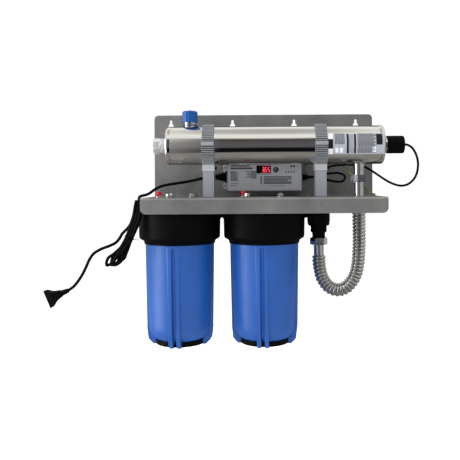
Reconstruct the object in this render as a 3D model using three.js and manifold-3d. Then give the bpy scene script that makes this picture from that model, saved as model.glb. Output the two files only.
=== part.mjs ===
// Wall-hung water treatment unit: an ultraviolet chamber above two canister filters, in millimetres.
// Frame: +X to the right, +Y towards the wall, +Z up. The origin is on the back face of the wall plate,
// midway between its ends and midway between the shelf and the plate's top edge.
import * as THREE from 'three';
import { mergeVertices } from 'three/addons/utils/BufferGeometryUtils.js';
import Module from 'manifold-3d';

const wasm = await Module();
wasm.setup();

// ---- driving dimensions ----
const GAP = 0.3;                  // clearance between pieces that touch
const SHEET = 3;                  // bracket sheet thickness
const BRACKET_W = 538;
const PLATE_TOP = 100;
const SHELF_TOP = -100;
const SHELF_DEPTH = 203;
const LIP_DROP = 35;
const BEND_R = 5;                 // outside radius of both bends
const PLATE_CORNER_R = 10;
const LIP_CORNER_R = 12;
const KEYHOLE_X = [-228, -76, 76, 228];
const KEYHOLE_Z = 73;
const KEYHOLE_R = 6.5;
const KEYHOLE_SLOT_R = 3;
const KEYHOLE_RISE = 12;

const AXIS_Y = -105;              // chamber, filters and hose share this depth
const CHAMBER = { z: 18.5, r: 44.5, wall: 2, left: -227, right: 279, edge: 7 };
const END_NECK = { r: 15, bore: 13.8, length: 11 };
const OUTLET = { x: -170, r: 14, bore: 10.5, top: 86 };
const INLET = { x: 219.5, r: 12, bore: 9, bottom: -58 };
const SLEEVE = { r: 12.5, wall: 1.5, left: -214, right: 289 };
const LAMP = { r: 8, baseR: 9.5, baseLength: 12, end: 300 };
const CONNECTOR = { r: 20.5, mouth: 17.9, left: 284, right: 324, roof: 300.4 };
const GLAND_NUT = { r: 17.5, lip: 12.9, overhang: 5 };
const COLLAR = { r: 17.4, grooveR: 16.4, length: 10.4, groove: 6.4 };
const END_PLUG = { r: 17.8, stemR: 10.4, length: 16 };
const OUTLET_RING = { r: 17.4, bore: 14.4, low: 64, high: 66.4 };
const CAP = { r: 17.8, bore: 14.4, low: 72, ceiling: 87, shoulder: 96, top: 99.5, topR: 15 };

const CLAMP_X = { left: -126.5, right: 130.5 };
const CLAMP_W = 28;
const CLAMP_RING = 4.2;           // radial thickness of the clamp ring
const CLAMP_BASE = { half: 22, bottom: -41 };
const RIB_COUNT = 20;
const RIB_H = 1.2;
const POST = { width: 25, wall: 2 };

const HEAD_X = { left: -195, right: 0 };
const HEAD = {
  r: 93.8, top: -103.3, topR: 62, shoulder: -122, skirt: -194, bevel: -201, bottom: -205.5, bottomR: 81,
};
const HEAD_CAVITY = { r: 79, roof: -159.5, coreR: 70, coreRoof: -150, passage: 52, passageR: 8 };
const PORT = { z: -127, boss: 23.5, bore: 16, root: 55, reach: 95 };
const SUMP = { top: -165, bottom: -427, rTop: 78.5, rBottom: 72, wall: 5, edge: 20 };
const RIB = { count: 4, pairHalf: 9, width: 8, foot: -435.5, turn: -0.07 };
const BASE = { r: 56, bottom: -434.5 };      // round boss under a sump, between the feet of its ribs
const CARTRIDGE = { r: 57, core: 14, top: -166.5, bottom: -416 };
// Two bolts hold each head up against the shelf; places are [x, y] from the head's axis.
const BOLT_PLACES = { left: [[-22, -30], [31, 30]], right: [[-38, -30], [38, 30]] };
const BOLT = { hexR: 5.8, flangeR: 7.6, shankR: 3.4, depth: -118, headTop: 8 };
const VALVE = { dx: -47, dy: -8, r: 7.2, top: -97.8, stemR: 3.7, bore: 2.6, depth: 11 };
const BUTTON = { r: 5.5, stemR: 2.2, height: 9, depth: 7 };
const BUTTON_TRAVEL = 2;

const ELBOW = { x: 126, r: 26, top: -104, bottom: -167.4 };
const HOSE = { r: 15.3, leftX: 126, rightX: 219.5, leftTop: -236.3, rightTop: -118.3 };
// Middle line of the hose between its two cuffs, as [x, z].
const HOSE_RUN = [
  [126.4, -252], [129, -268], [137, -288], [151.5, -304.5], [170, -311.5], [188.5, -308], [203, -295.5],
  [211.8, -277.5], [216.4, -256], [218.5, -232], [219.5, -205], [219.5, -160],
];
const PIPE = { bore: 11.5, stubR: 15.6, stub: 30 };          // threaded stubs of the link and the elbow
const NUT_R = 20.4;
const INLET_HOLE_R = 18;
const EARTH = { x: 260, y: -70, holeR: 2.6, lugR: 6, headR: 4.6, shankR: 2.2 };
const HOSE_SECTION = 12;

const BOX = { left: -88, right: 92, bottom: -88, top: -8, front: -58, back: -5.6, wall: 2 };
const BASE_FLANGE = 12.5;
const FLANGE_HOLE_Z = [-76, -20];
const DISPLAY = { x: 0, z: -36, w: 34, h: 18 };
const KEY = { x: 29, z: -37, r: 6.4 };
const GLAND = { y: -30, z: -53.3, r: 13.5, tip: 5.4, length: 33 };
const LAMP_GLAND_Z = -55;
const WINDOW_GAP = 0.4;           // clearance round the display and the key

const CORD_R = 3.4;               // mains lead
const LAMP_CABLE_R = 2.7;
const EARTH_R = 1.6;

// ---- routes of the cords, each a list of points from end to end ----
const SHELF_RUN = [
  [-121.6, -30, -53.3], [-132, -31, -54], [-153, -36, -57], [-172, -40, -61.5], [-195, -46, -66],
  [-217, -52, -69], [-236, -57, -72.5], [-249, -62, -76.5], [-259, -69, -82.5], [-267, -80, -89.5],
  [-273, -97, -93.8], [-276, -117, -95], [-278, -138, -96.2], [-278.2, -156, -97.6], [-277.4, -167, -100.6],
  [-276.8, -171.4, -104.4], [-276.7, -172, -108.3],
];
const PLUG_LEAD = [
  [-306, -172, -173.6], [-310.6, -172, -174.8], [-315, -172, -179.5], [-320.5, -172, -189],
  [-328.5, -172, -198], [-342, -172, -205], [-356, -172, -210], [-368, -172, -215.5], [-379, -172, -223.5], [-387.6, -172, -236],
  [-394.8, -172, -252], [-403.7, -172, -269.5], [-414.5, -172, -285.4], [-423, -172, -295],
  [-432.8, -172, -302.2],
];
const LAMP_RUN = [
  [324.6, -105, 18.5], [332, -105, 18], [341, -105, 13], [349, -105, 3], [355, -105, -12],
  [357, -105, -28], [354, -105, -48], [346, -105, -63], [333, -105, -73.5], [319, -104, -76.8],
  [304, -103, -74], [286, -101, -65.5], [265, -97, -51], [247, -89, -38], [232, -81, -30],
  [216, -75, -27], [195, -69, -26], [170, -63, -28], [149, -58, -33], [136, -55.5, -42],
  [136.5, -55, -53.5], [150, -56, -61], [168, -56, -65.5], [184, -55, -66.5], [194.5, -52, -60],
  [193, -48, -51], [181, -44, -46], [164, -40, -46], [145, -36, -49], [126, -32, -53.5], [110.4, -30, -55],
];
const EARTH_RUN = [
  [94.6, -22, -24], [104, -22, -23.5], [122, -25, -20], [145, -32, -16.5], [168, -42, -18.5],
  [188, -50, -27], [200, -53, -38], [213, -56, -52], [225, -60, -66], [237, -64, -78.5],
  [247, -67, -88], [254.4, -69, -93.4],
];

// ---- hank of the mains lead: a flat bundle hanging from the tie, wider at its lower end ----
const HANK = { top: [-276.7, -108.9], knee: [-281, -176.3], end: [-340.5, -252.8], y: -172, thick: 20 };
const HANK_WIDTHS = [
  [0, 5], [0.06, 9.4], [0.3, 9.6], [0.55, 9.2], [0.7, 14], [0.86, 22], [0.95, 21], [1, 12],
];
const TIE = { from: 0.55, to: 0.6, half: 12.5 };
const PLUG = { home: [-433.5, -172, -302.6], axis: [-0.92, 0, -0.39], reliefR: 4.8, relief: 21, half: 11 };
const PLUG_SIDE = [[19, 7.6], [24, 9], [31, 10.6], [37, 13.4], [42.5, 17.6], [45.5, 20], [50, 20.2]];
const BLADE = { at: 38.5, carrierR: 9.5, length: 17, half: 3.1, thick: 1.6 };

// ---- materials ----
function material(color, roughness, metalness) {
  return new THREE.MeshStandardMaterial({ color, roughness, metalness });
}
const steelSheet = material(0x8f9091, 0.45, 0.8);
const polished = material(0xc8c6c0, 0.08, 1);
const chrome = material(0xd8d8d8, 0.12, 1);
const brushed = material(0xb5b5b2, 0.35, 0.9);
const greyPlastic = material(0xa4a8ac, 0.5, 0.1);
const aluminium = material(0xb0b3b6, 0.4, 0.8);
const blackPlastic = material(0x0b0b0c, 0.45, 0);
const bluePlastic = material(0x2f5fb4, 0.35, 0);
const capBlue = material(0x1264b4, 0.4, 0);
const redPlastic = material(0xc81418, 0.4, 0);
const rubber = material(0x121212, 0.8, 0);
const glass = material(0xe8f0f4, 0.05, 0);
const white = material(0xeeeeea, 0.8, 0);
const board = material(0x1d5a34, 0.6, 0);
const copper = material(0x8a4a22, 0.4, 0.7);
const earthGreen = material(0x5f8a1c, 0.6, 0);
const label = material(0xc4c6c8, 0.5, 0.2);

// ---- geometry helpers ----
function box(x0, x1, y0, y1, z0, z1) {
  const geometry = new THREE.BoxGeometry(x1 - x0, y1 - y0, z1 - z0);
  return geometry.translate((x0 + x1) / 2, (y0 + y1) / 2, (z0 + z1) / 2);
}

// Turns a shape made along +Y so that it runs along the named axis, then moves it.
function aim(geometry, axis, x, y, z) {
  if (axis === 'z') geometry.rotateX(Math.PI / 2);
  if (axis === 'x') geometry.rotateZ(-Math.PI / 2);
  return geometry.translate(x, y, z);
}

// Solid of revolution: profile points are [radius, height along the axis], in either sense.
// It closes on itself, unless both its ends lie on the axis.
function turned(profile, axis, x, y, z, segments = 32) {
  const points = profile.map(([r, h]) => new THREE.Vector2(r, h));
  if (THREE.ShapeUtils.area(points) < 0) points.reverse();
  const onAxis = points[0].x === 0 && points[points.length - 1].x === 0;
  if (!onAxis) points.push(points[0].clone());
  return aim(new THREE.LatheGeometry(points, segments), axis, x, y, z);
}

function rod(r, from, to, axis, x, y, z, segments = 24) {
  const geometry = new THREE.CylinderGeometry(r, r, to - from, segments);
  return aim(geometry.translate(0, (from + to) / 2, 0), axis, x, y, z);
}

function outline(points) {
  return new THREE.Shape(points.map(([u, v]) => new THREE.Vector2(u, v)));
}

// A section drawn in the Y-Z plane, extruded along X.
function alongX(shape, x0, x1, curveSegments = 6) {
  const geometry = new THREE.ExtrudeGeometry(shape, { depth: x1 - x0, bevelEnabled: false, curveSegments });
  const turn = new THREE.Matrix4().makeBasis(
    new THREE.Vector3(0, 1, 0), new THREE.Vector3(0, 0, 1), new THREE.Vector3(1, 0, 0));
  return geometry.applyMatrix4(turn).translate(x0, 0, 0);
}

// An outline drawn in the X-Z plane, extruded along Y.
function alongY(shape, y0, y1, curveSegments = 6) {
  const geometry = new THREE.ExtrudeGeometry(shape, { depth: y1 - y0, bevelEnabled: false, curveSegments });
  return geometry.rotateX(Math.PI / 2).translate(0, y1, 0);
}

function sweep(points, r, sides, steps) {
  const path = new THREE.CatmullRomCurve3(points.map((p) => new THREE.Vector3(...p)), false, 'centripetal');
  const section = [];
  for (let i = 0; i < sides; i += 1) {
    const angle = (2 * Math.PI * i) / sides;
    section.push(new THREE.Vector2(r * Math.cos(angle), r * Math.sin(angle)));
  }
  const shape = new THREE.Shape(section);
  return new THREE.ExtrudeGeometry(shape, { steps, bevelEnabled: false, extrudePath: path });
}

function toManifold(geometry) {
  const bare = geometry.clone();
  bare.deleteAttribute('normal');
  bare.deleteAttribute('uv');
  const merged = mergeVertices(bare, 1e-4);
  const mesh = new wasm.Mesh({
    numProp: 3,
    vertProperties: new Float32Array(merged.attributes.position.array),
    triVerts: new Uint32Array(merged.index.array),
  });
  return new wasm.Manifold(mesh);
}

function fromManifold(solid) {
  const mesh = solid.getMesh();
  const geometry = new THREE.BufferGeometry();
  geometry.setAttribute('position', new THREE.BufferAttribute(new Float32Array(mesh.vertProperties), 3));
  geometry.setIndex(new THREE.BufferAttribute(new Uint32Array(mesh.triVerts), 1));
  return geometry;
}

// Joins the first list of geometries and cuts the second list out of it.
function carve(joined, removed = []) {
  let solid = toManifold(joined[0]);
  for (const geometry of joined.slice(1)) solid = solid.add(toManifold(geometry));
  for (const geometry of removed) solid = solid.subtract(toManifold(geometry));
  return fromManifold(solid);
}

const unit = new THREE.Group();
function add(name, geometry, look) {
  const mesh = new THREE.Mesh(geometry, look);
  mesh.name = name;
  unit.add(mesh);
}

// ---- bracket: wall plate, shelf and front lip folded from one sheet ----
function bracketSection() {
  const shelfUnder = SHELF_TOP - SHEET;
  const inner = BEND_R - SHEET;
  const front = -SHELF_DEPTH;
  const shape = new THREE.Shape();
  shape.moveTo(0, PLATE_TOP);
  shape.lineTo(-SHEET, PLATE_TOP);
  shape.lineTo(-SHEET, SHELF_TOP + inner);
  shape.absarc(-BEND_R, SHELF_TOP + inner, inner, 0, -Math.PI / 2, true);
  shape.lineTo(front + BEND_R, SHELF_TOP);
  shape.absarc(front + BEND_R, SHELF_TOP - BEND_R, BEND_R, Math.PI / 2, Math.PI, false);
  shape.lineTo(front, SHELF_TOP - LIP_DROP);
  shape.lineTo(front + SHEET, SHELF_TOP - LIP_DROP);
  shape.lineTo(front + SHEET, SHELF_TOP - BEND_R);
  shape.absarc(front + BEND_R, SHELF_TOP - BEND_R, inner, Math.PI, Math.PI / 2, true);
  shape.lineTo(-BEND_R, shelfUnder);
  shape.absarc(-BEND_R, shelfUnder + BEND_R, BEND_R, -Math.PI / 2, 0, false);
  shape.closePath();
  return shape;
}

// The waste outside a rounded corner: signs say which way the corner points.
function cornerWaste(x, z, r, signX, signZ) {
  const points = [[x + signX, z + signZ], [x - signX * r, z + signZ]];
  for (let i = 0; i <= 5; i += 1) {
    const angle = (Math.PI / 2) * (i / 5);
    points.push([x - signX * r * (1 - Math.sin(angle)), z - signZ * r * (1 - Math.cos(angle))]);
  }
  points.push([x + signX, z - signZ * r]);
  return outline(points);
}

function makeBracket() {
  const half = BRACKET_W / 2;
  const holes = [];
  for (const sign of [-1, 1]) {
    const plateCorner = cornerWaste(sign * half, PLATE_TOP, PLATE_CORNER_R, sign, 1);
    holes.push(alongY(plateCorner, -SHEET - 1, 1));
    const lipCorner = cornerWaste(sign * half, SHELF_TOP - LIP_DROP, LIP_CORNER_R, sign, -1);
    holes.push(alongY(lipCorner, -SHELF_DEPTH - 1, -SHELF_DEPTH + SHEET + 1));
  }
  for (const x of KEYHOLE_X) {
    holes.push(rod(KEYHOLE_R, -SHEET - 1, 1, 'y', x, 0, KEYHOLE_Z, 16));
    holes.push(rod(KEYHOLE_SLOT_R, -SHEET - 1, 1, 'y', x, 0, KEYHOLE_Z + KEYHOLE_RISE, 12));
    const slotHigh = KEYHOLE_Z + KEYHOLE_RISE;
    holes.push(box(x - KEYHOLE_SLOT_R, x + KEYHOLE_SLOT_R, -SHEET - 1, 1, KEYHOLE_Z, slotHigh));
  }
  const below = SHELF_TOP - SHEET - 1;
  const above = SHELF_TOP + 1;
  for (const [side, x] of Object.entries(HEAD_X)) {
    for (const [dx, dy] of BOLT_PLACES[side]) {
      holes.push(rod(BOLT.shankR + 0.6, below, above, 'z', x + dx, AXIS_Y + dy, 0, 12));
    }
    holes.push(rod(VALVE.r + 1.2, below, above, 'z', x + VALVE.dx, AXIS_Y + VALVE.dy, 0, 16));
  }
  holes.push(rod(INLET_HOLE_R, below, above, 'z', INLET.x, AXIS_Y, 0, 18));
  holes.push(rod(EARTH.holeR, below, above, 'z', EARTH.x, EARTH.y, 0, 10));
  return carve([alongX(bracketSection(), -half, half)], holes);
}
add('bracket', makeBracket(), steelSheet);

// ---- ultraviolet chamber with its ports ----
const innerR = CHAMBER.r - CHAMBER.wall;
function chamberBody(r, inset, edge) {
  const left = CHAMBER.left + inset;
  const right = CHAMBER.right - inset;
  const profile = [[0, left]];
  for (let i = 0; i <= 3; i += 1) {
    const angle = (Math.PI / 2) * (i / 3);
    profile.push([r - edge * (1 - Math.sin(angle)), left + edge * (1 - Math.cos(angle))]);
  }
  for (let i = 3; i >= 0; i -= 1) {
    const angle = (Math.PI / 2) * (i / 3);
    profile.push([r - edge * (1 - Math.sin(angle)), right - edge * (1 - Math.cos(angle))]);
  }
  profile.push([0, right]);
  return turned(profile, 'x', 0, AXIS_Y, CHAMBER.z, 24);
}

const necks = [
  rod(END_NECK.r, CHAMBER.left - END_NECK.length, CHAMBER.left + 1.5, 'x', 0, AXIS_Y, CHAMBER.z, 20),
  rod(END_NECK.r, CHAMBER.right - 1.5, CHAMBER.right + END_NECK.length, 'x', 0, AXIS_Y, CHAMBER.z, 20),
  rod(OUTLET.r, CHAMBER.z + innerR - 3, OUTLET.top, 'z', OUTLET.x, AXIS_Y, 0, 20),
  rod(INLET.r, INLET.bottom, CHAMBER.z - innerR + 3, 'z', INLET.x, AXIS_Y, 0, 20),
];
const chamberHollow = [
  chamberBody(innerR, CHAMBER.wall, CHAMBER.edge - CHAMBER.wall),
  rod(END_NECK.bore - 3, CHAMBER.left - 20, CHAMBER.left + 20, 'x', 0, AXIS_Y, CHAMBER.z, 20),
  rod(END_NECK.bore, CHAMBER.right - 20, CHAMBER.right + 20, 'x', 0, AXIS_Y, CHAMBER.z, 20),
  rod(OUTLET.bore, CHAMBER.z, OUTLET.top + 1, 'z', OUTLET.x, AXIS_Y, 0, 16),
  rod(INLET.bore, INLET.bottom - 1, CHAMBER.z, 'z', INLET.x, AXIS_Y, 0, 16),
];
add('uv_chamber', carve([chamberBody(CHAMBER.r, 0, CHAMBER.edge), ...necks], chamberHollow), polished);

function onChamberAxis(name, profile, look, segments = 18) {
  add(name, turned(profile, 'x', 0, AXIS_Y, CHAMBER.z, segments), look);
}

const sleeveInner = SLEEVE.r - SLEEVE.wall;
onChamberAxis('quartz_sleeve', [[0, SLEEVE.left], [SLEEVE.r, SLEEVE.left], [SLEEVE.r, SLEEVE.right],
  [sleeveInner, SLEEVE.right], [sleeveInner, SLEEVE.left + SLEEVE.wall], [0, SLEEVE.left + SLEEVE.wall]],
  glass);
const lampLeft = SLEEVE.left + 8;
const lampEnd = SLEEVE.right - LAMP.baseLength;
onChamberAxis('uv_lamp', [[0, lampLeft], [LAMP.r, lampLeft], [LAMP.r, lampEnd], [LAMP.baseR, lampEnd],
  [LAMP.baseR, LAMP.end], [0, LAMP.end]], glass, 16);
const neckEnd = CHAMBER.right + END_NECK.length;
const sealR = [SLEEVE.r + 0.2, END_NECK.r - 0.2];
onChamberAxis('sleeve_seal', [[sealR[0], neckEnd + GAP], [sealR[1], neckEnd + GAP], [sealR[1], neckEnd + 2.5],
  [sealR[0], neckEnd + 2.5]], rubber);
const nutFoot = CHAMBER.right + 0.4;
const nutEnd = neckEnd + GLAND_NUT.overhang;
const nutFloor = neckEnd + 2.8;
onChamberAxis('gland_nut', [[END_NECK.r + GAP, nutFoot], [GLAND_NUT.r, nutFoot], [GLAND_NUT.r, nutEnd],
  [GLAND_NUT.lip, nutEnd], [GLAND_NUT.lip, nutFloor], [END_NECK.r + GAP, nutFloor]], chrome);
const { mouth, left: capLeft, right: capRight, roof: capRoof } = CONNECTOR;
onChamberAxis('lamp_connector', [[mouth, capLeft], [CONNECTOR.r - 1, capLeft], [CONNECTOR.r, capLeft + 1.5],
  [CONNECTOR.r, capRight - 3], [CONNECTOR.r - 3, capRight], [0, capRight], [0, capRoof], [mouth, capRoof]],
  blackPlastic, 22);

// Left end: a ring-grooved collar on the neck and a hexagon plug.
const collarRight = CHAMBER.left - 0.6;
const collarLeft = collarRight - COLLAR.length;
const groove = collarLeft + COLLAR.groove - 2;
onChamberAxis('end_collar', [[END_NECK.r + GAP, collarLeft], [COLLAR.r, collarLeft], [COLLAR.r, groove - 1],
  [COLLAR.grooveR, groove], [COLLAR.r, groove + 1], [COLLAR.r, collarRight], [END_NECK.r + GAP, collarRight]],
  chrome, 18);
const plugRight = CHAMBER.left - END_NECK.length - 0.4;
const plugStem = rod(END_PLUG.stemR, plugRight, plugRight + 14, 'x', 0, AXIS_Y, CHAMBER.z, 20);
const plugHex = rod(END_PLUG.r, plugRight - END_PLUG.length, plugRight, 'x', 0, AXIS_Y, CHAMBER.z, 6);
add('end_plug', carve([plugHex, plugStem]), chrome);

// Top outlet: a blue ring round the foot of the port and a pull-off cap.
add('outlet_collar', turned([[OUTLET_RING.bore, OUTLET_RING.low], [OUTLET_RING.r, OUTLET_RING.low],
  [OUTLET_RING.r, OUTLET_RING.high], [OUTLET_RING.bore, OUTLET_RING.high]],
  'z', OUTLET.x, AXIS_Y, 0, 24), capBlue);
add('outlet_cap', turned([[CAP.bore, CAP.low], [CAP.r, CAP.low], [CAP.r, CAP.shoulder], [CAP.topR, CAP.top],
  [0, CAP.top], [0, CAP.ceiling], [CAP.bore, CAP.ceiling]], 'z', OUTLET.x, AXIS_Y, 0, 20), capBlue);

// ---- clamps: a ribbed ring round the chamber, standing on a rectangular post ----
function clampSection() {
  const ringR = CHAMBER.r + GAP;
  const outerR = ringR + CLAMP_RING;
  const base = Math.asin((CLAMP_BASE.half - 0.01) / outerR);
  const start = -Math.PI / 2 + base;
  const sweepAngle = 2 * Math.PI - 2 * base;
  const steps = RIB_COUNT * 4;
  const shape = new THREE.Shape();
  shape.moveTo(AXIS_Y - CLAMP_BASE.half, CLAMP_BASE.bottom);
  shape.lineTo(AXIS_Y + CLAMP_BASE.half, CLAMP_BASE.bottom);
  for (let i = 0; i <= steps; i += 1) {
    const angle = start + (sweepAngle * i) / steps;
    const facesFront = Math.cos(angle) < 0.35;
    const r = outerR + (facesFront && i % 4 >= 2 ? RIB_H : 0);
    if (facesFront || i % 4 === 0) {
      shape.lineTo(AXIS_Y + r * Math.cos(angle), CHAMBER.z + r * Math.sin(angle));
    }
  }
  shape.closePath();
  const hole = new THREE.Path();
  const holeSteps = 28;
  for (let i = 0; i < holeSteps; i += 1) {
    const angle = -(2 * Math.PI * i) / holeSteps;
    const y = AXIS_Y + (ringR + 0.3) * Math.cos(angle);
    const z = CHAMBER.z + (ringR + 0.3) * Math.sin(angle);
    if (i === 0) hole.moveTo(y, z);
    else hole.lineTo(y, z);
  }
  shape.holes.push(hole);
  return shape;
}

for (const [side, x] of Object.entries(CLAMP_X)) {
  const half = CLAMP_W / 2;
  add(`clamp_ring_${side}`, alongX(clampSection(), x - half, x + half), greyPlastic);
  const foot = SHELF_TOP + GAP;
  const top = CLAMP_BASE.bottom - GAP;
  const outerX = POST.width / 2;
  const outerY = CLAMP_BASE.half;
  const outer = box(x - outerX, x + outerX, AXIS_Y - outerY, AXIS_Y + outerY, foot, top);
  const boreX = outerX - POST.wall;
  const boreY = outerY - POST.wall;
  const bore = box(x - boreX, x + boreX, AXIS_Y - boreY, AXIS_Y + boreY, foot - 1, top + 1);
  add(`clamp_post_${side}`, carve([outer], [bore]), greyPlastic);
}

// ---- filter heads, sumps and what they hold ----
function makeHead(side) {
  const x = HEAD_X[side];
  const outer = turned([[0, HEAD.top], [HEAD.topR, HEAD.top], [HEAD.topR + 4, HEAD.top - 3],
    [HEAD.r - 6, HEAD.shoulder + 5], [HEAD.r, HEAD.shoulder - 4], [HEAD.r - 1, HEAD.skirt],
    [HEAD.bottomR + 1.6, HEAD.bevel], [HEAD.bottomR, HEAD.bottom], [0, HEAD.bottom]], 'z', x, AXIS_Y, 0, 24);
  const { r, roof, coreR, coreRoof, passage, passageR } = HEAD_CAVITY;
  const below = HEAD.bottom - 1;
  const above = HEAD.top + 1;
  const cavity = turned([[0, coreRoof], [coreR, coreRoof], [coreR, roof], [r, roof], [r, below], [0, below]],
    'z', x, AXIS_Y, 0, 24);
  const bosses = [];
  const cuts = [cavity];
  for (const sign of [-1, 1]) {
    const bossFrom = sign < 0 ? -PORT.reach : PORT.root;
    bosses.push(rod(PORT.boss, bossFrom, bossFrom + PORT.reach - PORT.root, 'x', x, AXIS_Y, PORT.z, 18));
    const from = sign < 0 ? -PORT.reach - 1 : PORT.root - 10;
    cuts.push(rod(PORT.bore, from, from + PORT.reach - PORT.root + 11, 'x', x, AXIS_Y, PORT.z, 16));
    cuts.push(rod(passageR, coreRoof - 1, PORT.z, 'z', x + sign * passage, AXIS_Y, 0, 10));
  }
  for (const [dx, dy] of BOLT_PLACES[side]) {
    cuts.push(rod(BOLT.shankR + GAP, BOLT.depth - 2, above, 'z', x + dx, AXIS_Y + dy, 0, 10));
  }
  const valveFloor = HEAD.top - VALVE.depth - 1;
  cuts.push(rod(VALVE.stemR + GAP, valveFloor, above, 'z', x + VALVE.dx, AXIS_Y + VALVE.dy, 0, 12));
  return carve([outer, ...bosses], cuts);
}

function makeSump(x) {
  const { top, bottom, rTop, rBottom, wall, edge } = SUMP;
  const floor = bottom + wall;
  const outer = [[0, bottom]];
  const inner = [[0, floor]];
  for (let i = 0; i <= 2; i += 1) {
    const angle = (Math.PI / 2) * (i / 2);
    outer.push([rBottom - edge + edge * Math.sin(angle), bottom + edge * (1 - Math.cos(angle))]);
    const turnIn = edge - wall;
    inner.push([rBottom - edge + turnIn * Math.sin(angle), floor + turnIn * (1 - Math.cos(angle))]);
  }
  outer.push([rTop, HEAD.bottom - 2], [rTop, top], [rTop - wall, top], [rTop - wall, HEAD.bottom - 2]);
  const shell = turned([...outer, ...inner.reverse()], 'z', x, AXIS_Y, 0, 24);
  const ribOutline = outline([[rBottom - 3, bottom + 26], [rBottom - 14, bottom + 8], [30, bottom + 3],
    [34, RIB.foot], [rBottom - 13, RIB.foot], [rBottom - 5, RIB.foot + 3.5], [rBottom + 2, bottom + 6],
    [rBottom + 3.4, bottom + 20], [rTop + 0.3, HEAD.bottom - 26], [rTop - 1.5, HEAD.bottom - 6],
    [rTop - 3, HEAD.bottom - 8]]);
  const ribs = [];
  for (let i = 0; i < RIB.count; i += 1) {
    for (const side of [-1, 1]) {
      const middle = side * RIB.pairHalf;
      const rib = alongY(ribOutline, middle - RIB.width / 2, middle + RIB.width / 2);
      const turn = -Math.PI / 2 + RIB.turn + (2 * Math.PI * i) / RIB.count;
      ribs.push(rib.rotateZ(turn).translate(x, AXIS_Y, 0));
    }
  }
  const base = rod(BASE.r, BASE.bottom, bottom + 3, 'z', x, AXIS_Y, 0, 24);
  return carve([shell, ...ribs, base]);
}

for (const [side, x] of Object.entries(HEAD_X)) {
  add(`filter_head_${side}`, makeHead(side), blackPlastic);
  add(`sump_${side}`, makeSump(x), bluePlastic);
  const ringLow = SUMP.top + 0.5;
  const ringHigh = HEAD_CAVITY.roof - 0.4;
  const ringIn = SUMP.rTop - SUMP.wall - 0.1;
  add(`sump_ring_${side}`, turned([[ringIn, ringLow], [SUMP.rTop - 0.7, ringLow], [SUMP.rTop - 0.7, ringHigh],
    [ringIn, ringHigh]], 'z', x, AXIS_Y, 0, 24), rubber);
  add(`cartridge_${side}`, turned([[CARTRIDGE.core, CARTRIDGE.bottom], [CARTRIDGE.r, CARTRIDGE.bottom],
    [CARTRIDGE.r, CARTRIDGE.top], [CARTRIDGE.core, CARTRIDGE.top]], 'z', x, AXIS_Y, 0, 24), white);
  const valveX = x + VALVE.dx;
  const valveY = AXIS_Y + VALVE.dy;
  const seat = HEAD.top + GAP;
  const valveFoot = HEAD.top - VALVE.depth;
  add(`relief_valve_${side}`, turned([[VALVE.bore, valveFoot], [VALVE.stemR, valveFoot], [VALVE.stemR, seat],
    [VALVE.r, seat], [VALVE.r, VALVE.top], [VALVE.bore, VALVE.top]], 'z', valveX, valveY, 0, 16), chrome);
  const capFoot = VALVE.top + BUTTON_TRAVEL + GAP;
  const stemFoot = HEAD.top - BUTTON.depth;
  add(`relief_button_${side}`, turned([[0, stemFoot], [BUTTON.stemR, stemFoot], [BUTTON.stemR, capFoot],
    [BUTTON.r, capFoot], [BUTTON.r, capFoot + BUTTON.height - 1.5], [BUTTON.r - 1, capFoot + BUTTON.height],
    [0, capFoot + BUTTON.height]], 'z', valveX, valveY, 0, 16), redPlastic);
  BOLT_PLACES[side].forEach(([dx, dy], index) => {
    const boltX = x + dx;
    const boltY = AXIS_Y + dy;
    const flange = rod(BOLT.flangeR, SHELF_TOP + GAP, SHELF_TOP + 2, 'z', boltX, boltY, 0, 12);
    const hex = rod(BOLT.hexR, SHELF_TOP + 1, SHELF_TOP + BOLT.headTop, 'z', boltX, boltY, 0, 6);
    const shank = rod(BOLT.shankR, BOLT.depth, SHELF_TOP + 1, 'z', boltX, boltY, 0, 10);
    add(`head_bolt_${side}_${index + 1}`, carve([flange, hex, shank]), brushed);
  });
}

// Nipple between the two heads: a hexagon with a threaded stub at each side and a bore right through.
const linkX = (HEAD_X.left + HEAD_X.right) / 2;
const linkGap = (HEAD_X.right - HEAD_X.left) / 2 - PORT.reach;
const linkEnd = linkGap + PIPE.stub;
add('head_link', carve([rod(PIPE.stubR, -linkEnd, linkEnd, 'x', linkX, AXIS_Y, PORT.z, 20),
  rod(21, -linkGap + GAP, linkGap - GAP, 'x', linkX, AXIS_Y, PORT.z, 6)],
  [rod(PIPE.bore, -linkEnd - 1, linkEnd + 1, 'x', linkX, AXIS_Y, PORT.z, 16)]), blackPlastic);

// ---- outlet elbow, adapter, hose and its two nuts ----
const elbowFrom = HEAD_X.right + PORT.reach;
add('elbow', carve([
  rod(PIPE.stubR, elbowFrom - PIPE.stub, ELBOW.x, 'x', 0, AXIS_Y, PORT.z, 20),
  rod(22, elbowFrom + GAP, ELBOW.x, 'x', 0, AXIS_Y, PORT.z, 18),
  rod(ELBOW.r - 3, PORT.z - 8, PORT.z + 20, 'z', ELBOW.x, AXIS_Y, 0, 20),
  rod(ELBOW.r, ELBOW.bottom, PORT.z - 8, 'z', ELBOW.x, AXIS_Y, 0, 20),
], [
  rod(PIPE.bore, elbowFrom - PIPE.stub - 1, ELBOW.x, 'x', 0, AXIS_Y, PORT.z, 16),
  rod(PIPE.bore, ELBOW.bottom - 1, PORT.z + 8, 'z', ELBOW.x, AXIS_Y, 0, 16),
  rod(16, ELBOW.bottom - 1, ELBOW.bottom + 22, 'z', ELBOW.x, AXIS_Y, 0, 20),
]), blackPlastic);
add('hose_adapter', turned([[11, -203], [15, -203], [15, -184], [18.7, -181.7], [18.7, ELBOW.bottom - GAP],
  [15.6, ELBOW.bottom - GAP], [15.6, -147], [11, -147]], 'z', ELBOW.x, AXIS_Y, 0, 18), blackPlastic);

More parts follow.
